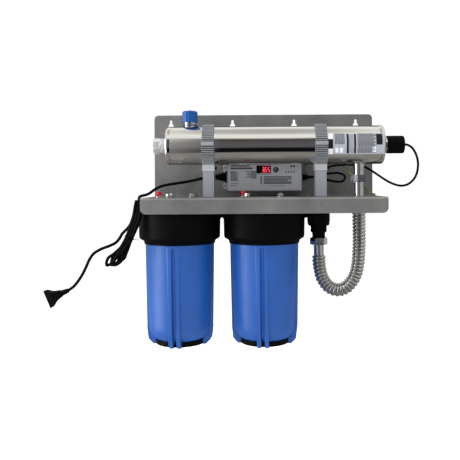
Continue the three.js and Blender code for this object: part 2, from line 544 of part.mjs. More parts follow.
// A hexagon nut open at the top, with a floor that holds the flange of the hose's cuff.
function makeNut(x, { top, bottom, threadR, floorR, floorTop }) {
  const thread = rod(threadR, floorTop, top + 1, 'z', x, AXIS_Y, 0, 18);
  const bore = rod(floorR, bottom - 1, top + 1, 'z', x, AXIS_Y, 0, 18);
  return carve([rod(NUT_R, bottom, top, 'z', x, AXIS_Y, 0, 6)], [thread, bore]);
}
const lowerNut = { top: -195.3, bottom: -211.5, threadR: 15.6, floorR: 12.3, floorTop: -206 };
const upperNut = { top: -51, bottom: -67.5, threadR: 12.5, floorR: 10.9, floorTop: -61.5 };
add('hose_nut_lower', makeNut(ELBOW.x, lowerNut), brushed);
add('hose_nut_upper', makeNut(INLET.x, upperNut), brushed);

// A cuff: a sleeve on the hose's end with a flange that the nut's floor pulls against.
function makeCuff(x, { bore, r, low, flangeR, flangeLow, top }) {
  return turned([[bore, low], [r, low], [r, flangeLow], [flangeR, flangeLow], [flangeR, top], [bore, top]],
    'z', x, AXIS_Y, 0, 18);
}
const lowerLow = HOSE.leftTop + GAP;
const upperLow = HOSE.rightTop + GAP;
const lowerCuff = { bore: 9, r: 11.8, low: lowerLow, flangeR: 14.6, flangeLow: -205.7, top: -203.3 };
const upperCuff = { bore: 8, r: 10.5, low: upperLow, flangeR: 12, flangeLow: -61.2, top: -58.4 };
add('hose_cuff_lower', makeCuff(HOSE.leftX, lowerCuff), polished);
add('hose_cuff_upper', makeCuff(HOSE.rightX, upperCuff), polished);

const hoseLine = [[HOSE.leftX, HOSE.leftTop], ...HOSE_RUN, [HOSE.rightX, HOSE.rightTop]];
const hoseRoute = hoseLine.map(([x, z]) => [x, AXIS_Y, z]);
add('flex_hose', sweep(hoseRoute, HOSE.r, HOSE_SECTION, 30), polished);

// ---- controller on the wall plate ----
// Openings for the display and the key, cut right through from one depth to another.
function windowCuts(front, back) {
  const halfW = DISPLAY.w / 2 + WINDOW_GAP;
  const halfH = DISPLAY.h / 2 + WINDOW_GAP;
  return [
    box(DISPLAY.x - halfW, DISPLAY.x + halfW, front, back, DISPLAY.z - halfH, DISPLAY.z + halfH),
    rod(KEY.r + WINDOW_GAP, front, back, 'y', KEY.x, 0, KEY.z, 20),
  ];
}
const { left: boxLeft, right: boxRight, bottom: boxLow, top: boxHigh, front: boxFront, back: boxBack } = BOX;
const coverCuts = [
  box(boxLeft + BOX.wall, boxRight - BOX.wall, boxFront + BOX.wall, boxBack + 1, boxLow + BOX.wall,
    boxHigh - BOX.wall),
  ...windowCuts(boxFront - 1, boxFront + 3),
  rod(7, boxLeft - 1, boxLeft + 3, 'x', 0, GLAND.y, GLAND.z, 16),
  rod(5.4, boxRight - 3, boxRight + 1, 'x', 0, GLAND.y, LAMP_GLAND_Z, 12),
];
const boxBody = box(boxLeft, boxRight, boxFront, boxBack, boxLow, boxHigh);
add('controller_cover', carve([boxBody], coverCuts), aluminium);
const flangeX = [BOX.left - BASE_FLANGE / 2, BOX.right + BASE_FLANGE / 2];
const slotCuts = [];
for (const x of flangeX) {
  for (const z of FLANGE_HOLE_Z) slotCuts.push(rod(2.6, -6, -2, 'y', x, 0, z, 10));
}
add('controller_base', carve([box(BOX.left - BASE_FLANGE, BOX.right + BASE_FLANGE, -5.3, -SHEET - GAP,
  BOX.bottom, BOX.top)], slotCuts), aluminium);
for (const [side, x] of Object.entries({ left: flangeX[0], right: flangeX[1] })) {
  const shank = rod(2.2, -6.5, -3.6, 'y', x, 0, FLANGE_HOLE_Z[0], 10);
  const head = rod(4.4, -8, -5.6, 'y', x, 0, FLANGE_HOLE_Z[0], 12);
  add(`controller_screw_${side}`, carve([head, shank]), brushed);
}
const faceSheet = box(boxLeft + 2, boxRight - 2, boxFront - 1.2, boxFront - GAP, boxLow + 2, boxHigh - 2);
add('face_panel', carve([faceSheet], windowCuts(boxFront - 2, boxFront + 1)), label);
add('display_window', box(DISPLAY.x - DISPLAY.w / 2, DISPLAY.x + DISPLAY.w / 2, boxFront - 1, boxFront + 4,
  DISPLAY.z - DISPLAY.h / 2, DISPLAY.z + DISPLAY.h / 2), blackPlastic);
const keyRim = KEY.r + 1.6;
add('controller_key', turned([[0, boxFront - 2.4], [KEY.r, boxFront - 2.4], [KEY.r, boxFront + 2.4],
  [keyRim, boxFront + 2.4], [keyRim, boxFront + 3.6], [0, boxFront + 3.6]],
  'y', KEY.x, 0, KEY.z, 20), blackPlastic);
const keySwitch = box(KEY.x - 3, KEY.x + 3, -53, -49, KEY.z - 3, KEY.z + 3);
const capacitor = rod(9, -49, -16, 'y', 10, 0, -55, 16);
const boardPlate = box(BOX.left + 6, BOX.right - 6, -50, -48.4, BOX.bottom + 6, BOX.top - 6);
add('circuit_board', carve([boardPlate, keySwitch, capacitor]), board);
add('ballast_choke', box(40, 78, -48, -20, -76, -22), copper);

function makeGland() {
  const { length, r, tip } = GLAND;
  const profile = [[0, -length]];
  const ribs = 3;
  for (let i = 0; i < ribs; i += 1) {
    const at = -length + (i * (length - 6)) / ribs;
    const step = (length - 6) / ribs;
    const ribR = tip + ((r - tip) * i) / ribs;
    profile.push([ribR, at], [ribR, at + step * 0.6], [ribR - 1.4, at + step * 0.6], [ribR - 1.4, at + step]);
  }
  profile.push([r, -6], [r, -GAP], [6.6, -GAP], [6.6, 6], [0, 6]);
  return turned(profile, 'x', BOX.left, GLAND.y, GLAND.z, 12);
}
add('cord_gland', makeGland(), rubber);
add('lamp_gland', turned([[0, -6], [5, -6], [5, GAP], [7.5, GAP], [7.5, 8], [4.4, 18], [0, 18]],
  'x', BOX.right, GLAND.y, LAMP_GLAND_Z, 16), rubber);

// ---- mains lead, its hank, tie and plug ----
add('power_cord', sweep(SHELF_RUN, CORD_R, 8, 18), rubber);
add('power_lead', sweep(PLUG_LEAD, CORD_R, 8, 16), rubber);

// Point of the hank's outline: a fraction along its middle line, and a distance to the left of it.
const hankLine = new THREE.QuadraticBezierCurve(
  new THREE.Vector2(...HANK.top), new THREE.Vector2(...HANK.knee), new THREE.Vector2(...HANK.end));
function hankPoint(along, side) {
  const at = hankLine.getPoint(along);
  const down = hankLine.getTangent(along);
  return [at.x + down.y * side, at.y - down.x * side];
}
function hankSolid(scaleOut, y0, y1) {
  const left = HANK_WIDTHS.map(([along, half]) => hankPoint(along, half + scaleOut));
  const right = HANK_WIDTHS.map(([along, half]) => hankPoint(along, -half - scaleOut)).reverse();
  return alongY(outline([...left, ...right]), y0, y1);
}
const hankFront = HANK.y - HANK.thick / 2;
const hankBack = HANK.y + HANK.thick / 2;
add('cord_hank', hankSolid(0, hankFront, hankBack), rubber);
const tieCorners = [[TIE.from, TIE.half], [TIE.to, TIE.half], [TIE.to, -TIE.half], [TIE.from, -TIE.half]];
const tieShape = outline(tieCorners.map(([along, side]) => hankPoint(along, side)));
add('cord_tie', carve([alongY(tieShape, hankFront - 1.8, hankBack + 1.8)],
  [hankSolid(0.4, hankFront - 0.4, hankBack + 0.4)]), white);

// The plug hangs flat to the wall: a bell-shaped body on the lead's end, its three blades on the wall side.
const plugHome = new THREE.Vector3(...PLUG.home);
const plugAxis = new THREE.Vector3(...PLUG.axis).normalize();
const plugTurn = new THREE.Quaternion().setFromUnitVectors(new THREE.Vector3(1, 0, 0), plugAxis);
function placePlug(geometry) {
  return geometry.applyQuaternion(plugTurn).translate(plugHome.x, plugHome.y, plugHome.z);
}
const plugSides = [...PLUG_SIDE, ...PLUG_SIDE.map(([along, side]) => [along, -side]).reverse()];
const plugBody = carve([rod(PLUG.reliefR, GAP, PLUG.relief, 'x', 0, 0, 0, 16),
  alongY(outline(plugSides), -PLUG.half, PLUG.half)]);
add('power_plug', placePlug(plugBody), rubber);
const carrierTop = PLUG.half + 1.3;
const blades = [[-5, -5.5, 60], [-5, 5.5, -60], [5, 0, 0]].map(([along, side, tilt]) => {
  const blade = box(-BLADE.half, BLADE.half, carrierTop - 0.5, carrierTop + BLADE.length, -BLADE.thick / 2,
    BLADE.thick / 2);
  return blade.rotateY((tilt * Math.PI) / 180).translate(BLADE.at + along, 0, side);
});
const bladeCarrier = rod(BLADE.carrierR, PLUG.half + GAP, carrierTop, 'y', BLADE.at, 0, 0, 20);
add('plug_blades', placePlug(carve([bladeCarrier, ...blades])), brushed);

// ---- lamp cable and earth wire ----
add('lamp_cable', sweep(LAMP_RUN, LAMP_CABLE_R, 8, 34), rubber);
add('earth_wire', sweep(EARTH_RUN, EARTH_R, 8, 22), earthGreen);
const lugTop = SHELF_TOP + 1.8;
add('earth_lug', carve([rod(EARTH.lugR, SHELF_TOP + GAP, lugTop, 'z', EARTH.x, EARTH.y, 0, 16)],
  [rod(EARTH.shankR + 0.6, SHELF_TOP - 1, lugTop + 1, 'z', EARTH.x, EARTH.y, 0, 10)]), brushed);
add('earth_screw', carve([rod(EARTH.headR, lugTop + GAP, lugTop + 4.2, 'z', EARTH.x, EARTH.y, 0, 6),
  rod(EARTH.shankR, SHELF_TOP - 8, lugTop + 1, 'z', EARTH.x, EARTH.y, 0, 10)]), brushed);

export default unit;
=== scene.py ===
"""Wall-hung water treatment unit: a polished ultraviolet chamber above two canister filters.

All lengths in this script are millimetres in the part's frame (+X right, +Y to the wall, +Z up),
turned into metres when a mesh or curve is made.
"""
import math
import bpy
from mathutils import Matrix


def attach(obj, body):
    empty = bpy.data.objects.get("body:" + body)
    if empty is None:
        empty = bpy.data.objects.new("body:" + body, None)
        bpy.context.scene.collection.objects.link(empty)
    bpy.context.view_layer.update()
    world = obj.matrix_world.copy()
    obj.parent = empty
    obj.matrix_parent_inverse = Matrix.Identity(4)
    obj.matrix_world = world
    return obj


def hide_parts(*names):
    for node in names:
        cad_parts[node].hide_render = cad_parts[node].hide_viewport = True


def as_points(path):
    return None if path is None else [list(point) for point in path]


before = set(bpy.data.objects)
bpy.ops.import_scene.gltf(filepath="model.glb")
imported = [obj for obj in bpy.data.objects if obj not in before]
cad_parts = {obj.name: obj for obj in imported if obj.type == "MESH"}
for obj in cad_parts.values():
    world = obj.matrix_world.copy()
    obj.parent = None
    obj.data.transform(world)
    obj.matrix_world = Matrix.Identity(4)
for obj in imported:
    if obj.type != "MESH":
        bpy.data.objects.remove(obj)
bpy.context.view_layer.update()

import bmesh
import bpy
from mathutils import Matrix, Vector

MM = 0.001
TINY = 1e-6
AXIS_Y = -105.0
CHAMBER_Z = 18.5
CHAMBER_R = 44.5
HEAD_X = {"left": -195.0, "right": 0.0}
CLAMP_X = {"left": -126.5, "right": 130.5}
ELBOW_X = 126.0
INLET_X = 219.5
OUTLET_X = -170.0
PORT_Z = -127.0


# ------------------------------------------------------------------ mesh tools
# Rotations that take +Z to the named axis.
TURN_TO = {
    "x": Matrix.Rotation(math.pi / 2, 3, "Y"),
    "y": Matrix.Rotation(-math.pi / 2, 3, "X"),
    "z": Matrix.Identity(3),
}


def rounded(corners):
    """An outline whose corners, given as (u, v, radius), are replaced by arcs. Radius 0 stays sharp."""
    steps = 5
    result = []
    count = len(corners)
    for i, corner in enumerate(corners):
        here = Vector(corner[:2])
        radius = corner[2] if len(corner) > 2 else 0.0
        before = Vector(corners[i - 1][:2]) - here
        after = Vector(corners[(i + 1) % count][:2]) - here
        if radius <= 0 or before.length < TINY or after.length < TINY:
            result.append(tuple(here))
            continue
        turn = before.angle(after)
        reach = min(radius / max(math.tan(turn / 2), TINY), before.length * 0.48, after.length * 0.48)
        start = here + before.normalized() * reach
        end = here + after.normalized() * reach
        for k in range(steps + 1):
            t = k / steps
            result.append(tuple(start * (1 - t) ** 2 + here * (2 * t * (1 - t)) + end * t ** 2))
    return result


class Shape:
    """Vertices and faces in millimetres, gathered from simple solids; mark picks a face's material."""

    def __init__(self):
        self.verts = []
        self.faces = []
        self.marks = []

    def add(self, verts, faces, mark=0):
        start = len(self.verts)
        self.verts.extend(Vector(v) for v in verts)
        self.faces.extend(tuple(start + i for i in face) for face in faces)
        self.marks.extend([mark] * len(faces))
        return self

    def lathe(self, profile, axis, at, segments=96, mark=0):
        """Revolves (radius, height) points; ends that lie on the axis are closed by a fan."""
        verts, rings = [], []
        for radius, height in profile:
            if radius < TINY:
                rings.append([len(verts)])
                verts.append(Vector((0, 0, height)))
                continue
            rings.append(list(range(len(verts), len(verts) + segments)))
            for i in range(segments):
                angle = 2 * math.pi * i / segments
                verts.append(Vector((radius * math.cos(angle), radius * math.sin(angle), height)))
        pairs = list(zip(rings, rings[1:]))
        if len(rings[0]) > 1 and len(rings[-1]) > 1:
            pairs.append((rings[-1], rings[0]))
        faces = []
        for low, high in pairs:
            for i in range(segments):
                j = (i + 1) % segments
                corners = [low[i % len(low)], low[j % len(low)], high[j % len(high)], high[i % len(high)]]
                unique = list(dict.fromkeys(corners))
                if len(unique) > 2:
                    faces.append(unique)
        return self.add([TURN_TO[axis] @ v + Vector(at) for v in verts], faces, mark)

    def prism(self, outline, axis, low, high, mark=0):
        """Extrudes an outline along an axis. The outline lies in (y, z), (x, z) or (x, y)."""
        count = len(outline)
        verts = []
        for level in (low, high):
            for u, v in outline:
                verts.append({"x": (level, u, v), "y": (u, level, v), "z": (u, v, level)}[axis])
        faces = [tuple(range(count)), tuple(range(2 * count - 1, count - 1, -1))]
        for i in range(count):
            j = (i + 1) % count
            faces.append((i, j, count + j, count + i))
        return self.add(verts, faces, mark)

    def block(self, x0, x1, y0, y1, z0, z1, mark=0):
        return self.prism([(x0, y0), (x1, y0), (x1, y1), (x0, y1)], "z", z0, z1, mark=mark)

    def tube(self, path, radius, sides=16, mark=0, stripe=None):
        """Sweeps a circle along a path. radius may be a function of the distance along it."""
        size = radius if callable(radius) else (lambda distance: radius)
        rings, distance = [], 0.0
        normal = None
        for i, here in enumerate(path):
            ahead = (path[min(i + 1, len(path) - 1)] - path[max(i - 1, 0)]).normalized()
            if normal is None:
                normal = ahead.orthogonal().normalized()
            normal = (normal - ahead * normal.dot(ahead)).normalized()
            across = ahead.cross(normal)
            if i:
                distance += (here - path[i - 1]).length
            r = size(distance)
            angles = [2 * math.pi * k / sides for k in range(sides)]
            rings.append([here + (normal * math.cos(a) + across * math.sin(a)) * r for a in angles])
        start = len(self.verts)
        flat = [v for ring in rings for v in ring]
        faces, marks = [], []
        for i in range(len(rings) - 1):
            for k in range(sides):
                n = (k + 1) % sides
                faces.append((i * sides + k, i * sides + n, (i + 1) * sides + n, (i + 1) * sides + k))
                marks.append(stripe(i, k) if stripe else mark)
        faces.append(tuple(range(sides)))
        faces.append(tuple(range((len(rings) - 1) * sides, len(rings) * sides)))
        self.verts.extend(flat)
        self.faces.extend(tuple(start + i for i in face) for face in faces)
        self.marks.extend(marks + [mark, mark])
        return self

    def place(self, matrix):
        self.verts = [matrix @ v for v in self.verts]
        return self

    def mesh(self, name, angle=32.0):
        mesh = bpy.data.meshes.new(name)
        mesh.from_pydata([tuple(v * MM) for v in self.verts], [], self.faces)
        mesh.polygons.foreach_set("material_index", self.marks)
        work = bmesh.new()
        work.from_mesh(mesh)
        bmesh.ops.remove_doubles(work, verts=work.verts, dist=1e-7)
        bmesh.ops.recalc_face_normals(work, faces=work.faces)
        work.to_mesh(mesh)
        work.free()
        smooth(mesh, angle)
        return mesh


def smooth(mesh, angle=32.0):
    mesh.polygons.foreach_set("use_smooth", [True] * len(mesh.polygons))
    mesh.set_sharp_from_angle(angle=math.radians(angle))
    mesh.update()


def new_object(name, data):
    thing = bpy.data.objects.new(name, data)
    bpy.context.scene.collection.objects.link(thing)
    return thing


def finish_piece(thing, materials, body, nodes):
    for material in materials if isinstance(materials, (list, tuple)) else [materials]:
        thing.data.materials.append(material)
    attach(thing, body)
    if nodes:
        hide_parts(*nodes)
    return thing


def piece(name, shape, materials, body="root", nodes=(), angle=32.0, bevel=0.0):
    thing = new_object(name, shape.mesh(name, angle))
    if bevel:
        add_bevel(thing, bevel)
    return finish_piece(thing, materials, body, nodes)


def turned(name, profile, axis, at, kind, node=None, body="root", segments=96):
    """A piece revolved from (radius, height) points."""
    shape = Shape().lathe(profile, axis, at, segments)
    return piece(name, shape, look[kind], body, (node,) if node else ())


def raised(profile, base, way=1):
    """The same profile with its heights counted from a base, upward or, with -1, downward."""
    return [(radius, base + way * height) for radius, height in profile]


def add_bevel(thing, width, segments=2, angle=30.0):
    """Rounds a piece's hard edges by width millimetres."""
    bevel = thing.modifiers.new("edge", "BEVEL")
    bevel.width = width * MM
    bevel.segments = segments
    bevel.limit_method = "ANGLE"
    bevel.angle_limit = math.radians(angle)
    bevel.harden_normals = True
    return thing


def boolean(thing, shapes, operation):
    """Joins or cuts closed shapes with a mesh object and keeps the result as plain mesh."""
    cutters = []
    for shape in shapes:
        cutter = new_object("cutter", shape.mesh("cutter"))
        step = thing.modifiers.new("solid", "BOOLEAN")
        step.operation = operation
        step.solver = "EXACT"
        step.object = cutter
        cutters.append(cutter)
    graph = bpy.context.evaluated_depsgraph_get()
    made = bpy.data.meshes.new_from_object(thing.evaluated_get(graph))
    thing.modifiers.clear()
    thing.data = made
    for cutter in cutters:
        bpy.data.objects.remove(cutter)
    smooth(made)
    return thing


def solid(name, base, joined=(), removed=()):
    thing = new_object(name, base.mesh(name))
    if joined:
        boolean(thing, joined, "UNION")
    if removed:
        boolean(thing, removed, "DIFFERENCE")
    return thing


def catmull(points, per=8):
    """Centripetal Catmull-Rom curve through points, as in the CAD model."""
    pts = [Vector(p) for p in points]
    pts = [2 * pts[0] - pts[1]] + pts + [2 * pts[-1] - pts[-2]]
    out = []
    for i in range(1, len(pts) - 2):
        p0, p1, p2, p3 = pts[i - 1:i + 3]
        d0, d1, d2 = ((b - a).length ** 0.5 for a, b in ((p0, p1), (p1, p2), (p2, p3)))
        d0, d2 = max(d0, 1e-4), max(d2, 1e-4)
        m1 = ((p1 - p0) / d0 - (p2 - p0) / (d0 + d1) + (p2 - p1) / d1) * d1
        m2 = ((p2 - p1) / d1 - (p3 - p1) / (d1 + d2) + (p3 - p2) / d2) * d1
        for k in range(per):
            t = k / per
            out.append(p1 * (2 * t ** 3 - 3 * t ** 2 + 1) + m1 * (t ** 3 - 2 * t ** 2 + t)
                       + p2 * (3 * t ** 2 - 2 * t ** 3) + m2 * (t ** 3 - t ** 2))
    out.append(pts[-2])
    return out


def length_of(path):
    return sum((b - a).length for a, b in zip(path, path[1:]))


def resample(path, step):
    """Points a steady distance apart along a path."""
    count = max(2, round(length_of(path) / step))
    pace = length_of(path) / count
    out, travelled, target = [path[0]], 0.0, pace
    for a, b in zip(path, path[1:]):
        span = (b - a).length
        while travelled + span >= target - 1e-9 and len(out) < count:
            out.append(a.lerp(b, (target - travelled) / span))
            target += pace
        travelled += span
    out.append(path[-1])
    return out


# ------------------------------------------------------------------ camera
def make_camera():
    data = bpy.data.cameras.new("camera")
    data.lens = 50.56
    data.shift_x = -0.0652
    data.shift_y = -0.1016
    camera = new_object("camera", data)
    turn = Matrix.Rotation(math.pi / 2, 4, "X") @ Matrix.Rotation(math.radians(-0.38), 4, "Z")
    camera.matrix_world = Matrix.Translation((-0.009, -1.6, -0.069)) @ turn
    bpy.context.scene.camera = camera


# ------------------------------------------------------------------ materials
def srgb(red, green, blue):
    """Linear colour of an 8-bit display colour."""
    def linear(value):
        value /= 255
        return value / 12.92 if value <= 0.04045 else ((value + 0.055) / 1.055) ** 2.4
    return (linear(red), linear(green), linear(blue))


class Finish:
    """A Principled material and the nodes that vary its colour, roughness and relief."""

    def __init__(self, name, color, roughness, metallic=0.0, specular=0.5):
        self.material = bpy.data.materials.new(name)
        self.material.use_nodes = True
        self.tree = self.material.node_tree
        self.shader = self.tree.nodes["Principled BSDF"]
        self.color = color
        self.roughness = roughness
        self.set("Base Color", (*color, 1))
        self.set("Roughness", roughness)
        self.set("Metallic", metallic)
        self.set("Specular IOR Level", specular)

    def set(self, name, value):
        self.shader.inputs[name].default_value = value
        return self

    def node(self, kind, **inputs):
        made = self.tree.nodes.new(kind)
        for name, value in inputs.items():
            made.inputs[name.replace("_", " ")].default_value = value
        return made

    def link(self, source, target):
        self.tree.links.new(source, target)

    def position(self, stretch=(1, 1, 1)):
        """The point on the piece, scaled unevenly to draw a texture out along an axis."""
        mapping = self.node("ShaderNodeMapping", Scale=stretch)
        self.link(self.node("ShaderNodeTexCoord").outputs["Object"], mapping.inputs["Vector"])
        return mapping.outputs["Vector"]

    def noise(self, scale, detail=3.0, stretch=(1, 1, 1)):
        made = self.node("ShaderNodeTexNoise", Scale=scale, Detail=detail)
        self.link(self.position(stretch), made.inputs["Vector"])
        return made.outputs["Fac"]

    def ramp(self, factor, stops):
        made = self.tree.nodes.new("ShaderNodeValToRGB")
        elements = made.color_ramp.elements
        while len(elements) < len(stops):
            elements.new(0.5)
        for element, (place, color) in zip(elements, stops):
            element.position = place
            element.color = (*color, 1) if isinstance(color, tuple) else (color, color, color, 1)
        self.link(factor, made.inputs["Fac"])
        return made.outputs["Color"]

    def vary_color(self, scale, amount, stretch=(1, 1, 1)):
        dark = tuple(c * (1 - amount) for c in self.color)
        light = tuple(min(1.0, c * (1 + amount)) for c in self.color)
        shade = self.ramp(self.noise(scale, 3.0, stretch), [(0.3, dark), (0.7, light)])
        self.link(shade, self.shader.inputs["Base Color"])
        return self

    def vary_roughness(self, scale, amount, stretch=(1, 1, 1)):
        low = max(0.0, self.roughness - amount)
        high = min(1.0, self.roughness + amount)
        self.link(self.ramp(self.noise(scale, 4.0, stretch), [(0.3, low), (0.7, high)]),
                  self.shader.inputs["Roughness"])
        return self

    def relief(self, scale, height, stretch=(1, 1, 1), detail=3.0):
        """Fine relief, height in millimetres."""
        bump = self.node("ShaderNodeBump", Strength=1.0, Distance=height * MM)
        self.link(self.noise(scale, detail, stretch), bump.inputs["Height"])
        previous = self.shader.inputs["Normal"].links
        if previous:
            self.link(previous[0].from_socket, bump.inputs["Normal"])
        self.link(bump.outputs["Normal"], self.shader.inputs["Normal"])
        return self


def moulded(name, color, roughness, specular=0.5, grain=0.04, variation=0.06):
    """Injection-moulded plastic: an even colour, a fine spark-eroded grain and slight shine changes."""
    made = Finish(name, color, roughness, 0.0, specular)
    made.vary_color(14, variation)
    made.vary_roughness(60, 0.05)
    made.relief(1400, grain, detail=2.0)
    return made


def metal(name, color, roughness, stretch=(1, 1, 1), scratch=0.01):
    """Bare metal with marks drawn out along its grain."""
    made = Finish(name, color, roughness, 1.0)
    made.vary_color(40, 0.05, stretch)
    made.vary_roughness(300, roughness * 0.3, stretch)
    made.relief(700, scratch, stretch)
    return made


def make_materials():
    black = (0.0022, 0.0022, 0.0024)
    sheet = Finish("steel_sheet", srgb(150, 150, 150), 0.46, 0.75)
    coarse = sheet.ramp(sheet.noise(9, 5.0), [(0.3, srgb(146, 147, 148)), (0.7, srgb(178, 177, 175))])
    specks = sheet.ramp(sheet.noise(900, 2.0), [(0.35, 0.72), (0.65, 1.0)])
    mixed = sheet.node("ShaderNodeMixRGB", Fac=1.0)
    mixed.blend_type = "MULTIPLY"
    sheet.link(coarse, mixed.inputs["Color1"])
    sheet.link(specks, mixed.inputs["Color2"])
    sheet.link(mixed.outputs["Color"], sheet.shader.inputs["Base Color"])
    sheet.vary_roughness(25, 0.08)
    sheet.relief(1100, 0.05)
    mirror = Finish("polished_steel", (0.78, 0.76, 0.72), 0.07, 1.0)
    mirror.vary_roughness(30, 0.03, (0.4, 1, 1))
    mirror.relief(16, 0.35, (0.35, 1, 1), 2.0)
    mirror.relief(900, 0.004, (0.05, 1, 1))
    satin = Finish("satin_steel", srgb(222, 223, 225), 0.3, 0.65)
    satin.vary_roughness(80, 0.06)
    satin.relief(700, 0.01)
    lamp = Finish("quartz", (0.95, 0.97, 1.0), 0.03)
    lamp.set("Transmission Weight", 0.9)
    lamp.relief(200, 0.002)
    filter_felt = Finish("filter_white", srgb(232, 232, 226), 0.9, 0.0, 0.2)
    filter_felt.relief(500, 0.6, detail=5.0)
    made = {"steel_sheet": sheet, "polished_steel": mirror, "satin_steel": satin, "quartz": lamp,
            "filter_white": filter_felt}
    # name: colour, roughness, stretch of the grain, depth of the scratches
    metals = {
        "chrome": ((0.83, 0.83, 0.83), 0.09, (1, 1, 1), 0.003),
        "steel": ((0.55, 0.55, 0.54), 0.3, (1, 1, 6), 0.01),
        "hose_steel": ((0.66, 0.65, 0.62), 0.12, (1, 1, 1), 0.004),
        "nut_steel": ((0.20, 0.205, 0.215), 0.42, (1, 1, 1), 0.03),
        "aluminium": ((0.42, 0.43, 0.44), 0.42, (0.1, 1, 4), 0.01),
        "copper": ((0.6, 0.28, 0.14), 0.3, (1, 1, 1), 0.01),
    }
    # name: colour, roughness, specular level, grain and variation, the last ones where they are not the usual
    plastics = {
        # black rubber; the same black also fills the disc under each bowl as painted shade
        "rubber": (black, 0.6, 0.08),
        "cord_rubber": (black, 0.5, 0.1, 0.03),
        "black_plastic": (black, 0.5, 0.05, 0.05),
        "cap_blue": (srgb(10, 74, 142), 0.3, 0.4, 0.02),
        "grey_plastic": (srgb(134, 138, 142), 0.42, 0.45, 0.03),
        # painted shade: a dark grey for the clamp's grooves in place of the shade that falls in them
        "painted_groove_shade": (srgb(34, 35, 38), 0.6, 0.2, 0.03),
        "lug_grey": (srgb(178, 181, 186), 0.45, 0.4, 0.03),
        "post_grey": (srgb(144, 147, 156), 0.5, 0.4, 0.03),
        "sump_blue": (srgb(19, 79, 158), 0.42, 0.5, 0.03),
        "red_plastic": (srgb(214, 16, 22), 0.3, 0.5, 0.02),
        "face_grey": (srgb(178, 180, 184), 0.5, 0.3, 0.01, 0.03),
        "film_silver": (srgb(162, 166, 174), 0.35, 0.4, 0.01, 0.04),
        "print_black": ((0.008, 0.008, 0.009), 0.55, 0.3, 0.01),
        "print_white": (srgb(225, 228, 232), 0.5, 0.3, 0.01),
        "board_green": (srgb(24, 88, 48), 0.5),
        "tie_white": (srgb(214, 212, 204), 0.5),
        "earth_green": (srgb(70, 140, 40), 0.45, 0.4, 0.02),
        "earth_yellow": (srgb(226, 204, 40), 0.45, 0.4, 0.02),
    }
    made.update({name: metal(name, *values) for name, values in metals.items()})
    made.update({name: moulded(name, *values) for name, values in plastics.items()})
    glow = Finish("digit_red", (0.3, 0.0, 0.0), 0.4)
    glow.set("Emission Color", (1.0, 0.07, 0.11, 1))
    glow.set("Emission Strength", 2.6)
    glow.vary_color(500, 0.2)
    made["digit_red"] = glow
    return {name: finish.material for name, finish in made.items()}


# ------------------------------------------------------------------ cords
SHELF_RUN = [
    (-121.6, -30, -53.3), (-132, -31, -54), (-153, -36, -57), (-172, -40, -61.5), (-195, -46, -66),
    (-217, -52, -69), (-236, -57, -72.5), (-249, -62, -76.5), (-259, -69, -82.5), (-267, -80, -89.5),
    (-273, -97, -93.8), (-276, -117, -95), (-278, -138, -96.2), (-278.2, -156, -97.6),
    (-277.4, -167, -100.6), (-276.8, -171.4, -104.4), (-276.7, -172, -108.3),
]
PLUG_LEAD = [
    (-306, -172, -173.6), (-310.6, -172, -174.8), (-315, -172, -179.5), (-320.5, -172, -189),
    (-328.5, -172, -198), (-342, -172, -205), (-356, -172, -210), (-368, -172, -215.5),
    (-379, -172, -223.5), (-387.6, -172, -236), (-394.8, -172, -252), (-403.7, -172, -269.5),
    (-414.5, -172, -285.4), (-423, -172, -295), (-432.8, -172, -302.2),
]
LAMP_RUN = [
    (324.6, -105, 18.5), (332, -105, 18), (341, -105, 13), (349, -105, 3), (355, -105, -12),
    (357, -105, -28), (354, -105, -48), (346, -105, -63), (333, -105, -73.5), (319, -104, -76.8),
    (304, -103, -74), (286, -101, -65.5), (265, -97, -51), (247, -89, -38), (232, -81, -30),
    (216, -75, -27), (195, -69, -26), (170, -63, -28), (149, -58, -33), (136, -55.5, -42),
    (136.5, -55, -53.5), (150, -56, -61), (168, -56, -65.5), (184, -55, -66.5), (194.5, -52, -60),
    (193, -48, -51), (181, -44, -46), (164, -40, -46), (145, -36, -49), (126, -32, -53.5),
    (110.4, -30, -55),
]
EARTH_RUN = [
    (94.6, -22, -24), (104, -22, -23.5), (122, -25, -20), (145, -32, -16.5), (168, -42, -18.5),
    (188, -50, -27), (200, -53, -38), (213, -56, -52), (225, -60, -66), (237, -64, -78.5),
    (247, -67, -88), (254.4, -69, -93.4),
]
CORD_R = 3.4
LAMP_CABLE_R = 2.7
EARTH_R = 1.6
HANK_LINE = (Vector((-276.7, -108.9)), Vector((-281, -176.3)), Vector((-340.5, -252.8)))
HANK_Y = -172.0
HANK_WAIST = 0.56
# Each fold of the hank: where its lower loop lies, as (fraction down the hank, distance left of its middle).
HANK_FOLDS = [(1.0, 9.0), (0.98, 2.0), (0.95, -3.5), (0.89, -6.0)]
LOOP_HALF = 7.0
# Places of the nine runs in the hank's section, as (distance left, distance back), in the order they are
# wound, and how far down each upper turn between them lies.
HANK_LANES = [(0, -6.3), (6.2, -6.3), (6.2, 6.3), (-6.2, 6.3), (-6.2, -6.3), (0, 0), (0, 6.3), (-6.2, 0),
              (6.2, 0)]
UPPER_TURNS = [-0.01, -0.005, 0.09, 0.042]


def hank_point(along, left, back):
    """A point in the hank: a fraction down its middle line, and distances to the left and the back of it."""
    a, b, c = HANK_LINE
    t = max(along, 0.0)
    at = a * (1 - t) ** 2 + b * (2 * t * (1 - t)) + c * t ** 2
    down = ((b - a) * (1 - t) + (c - b) * t).normalized()
    at += down * ((along - t) * (c - a).length)
    return Vector((at.x + down.y * left, HANK_Y + back, at.y - down.x * left))


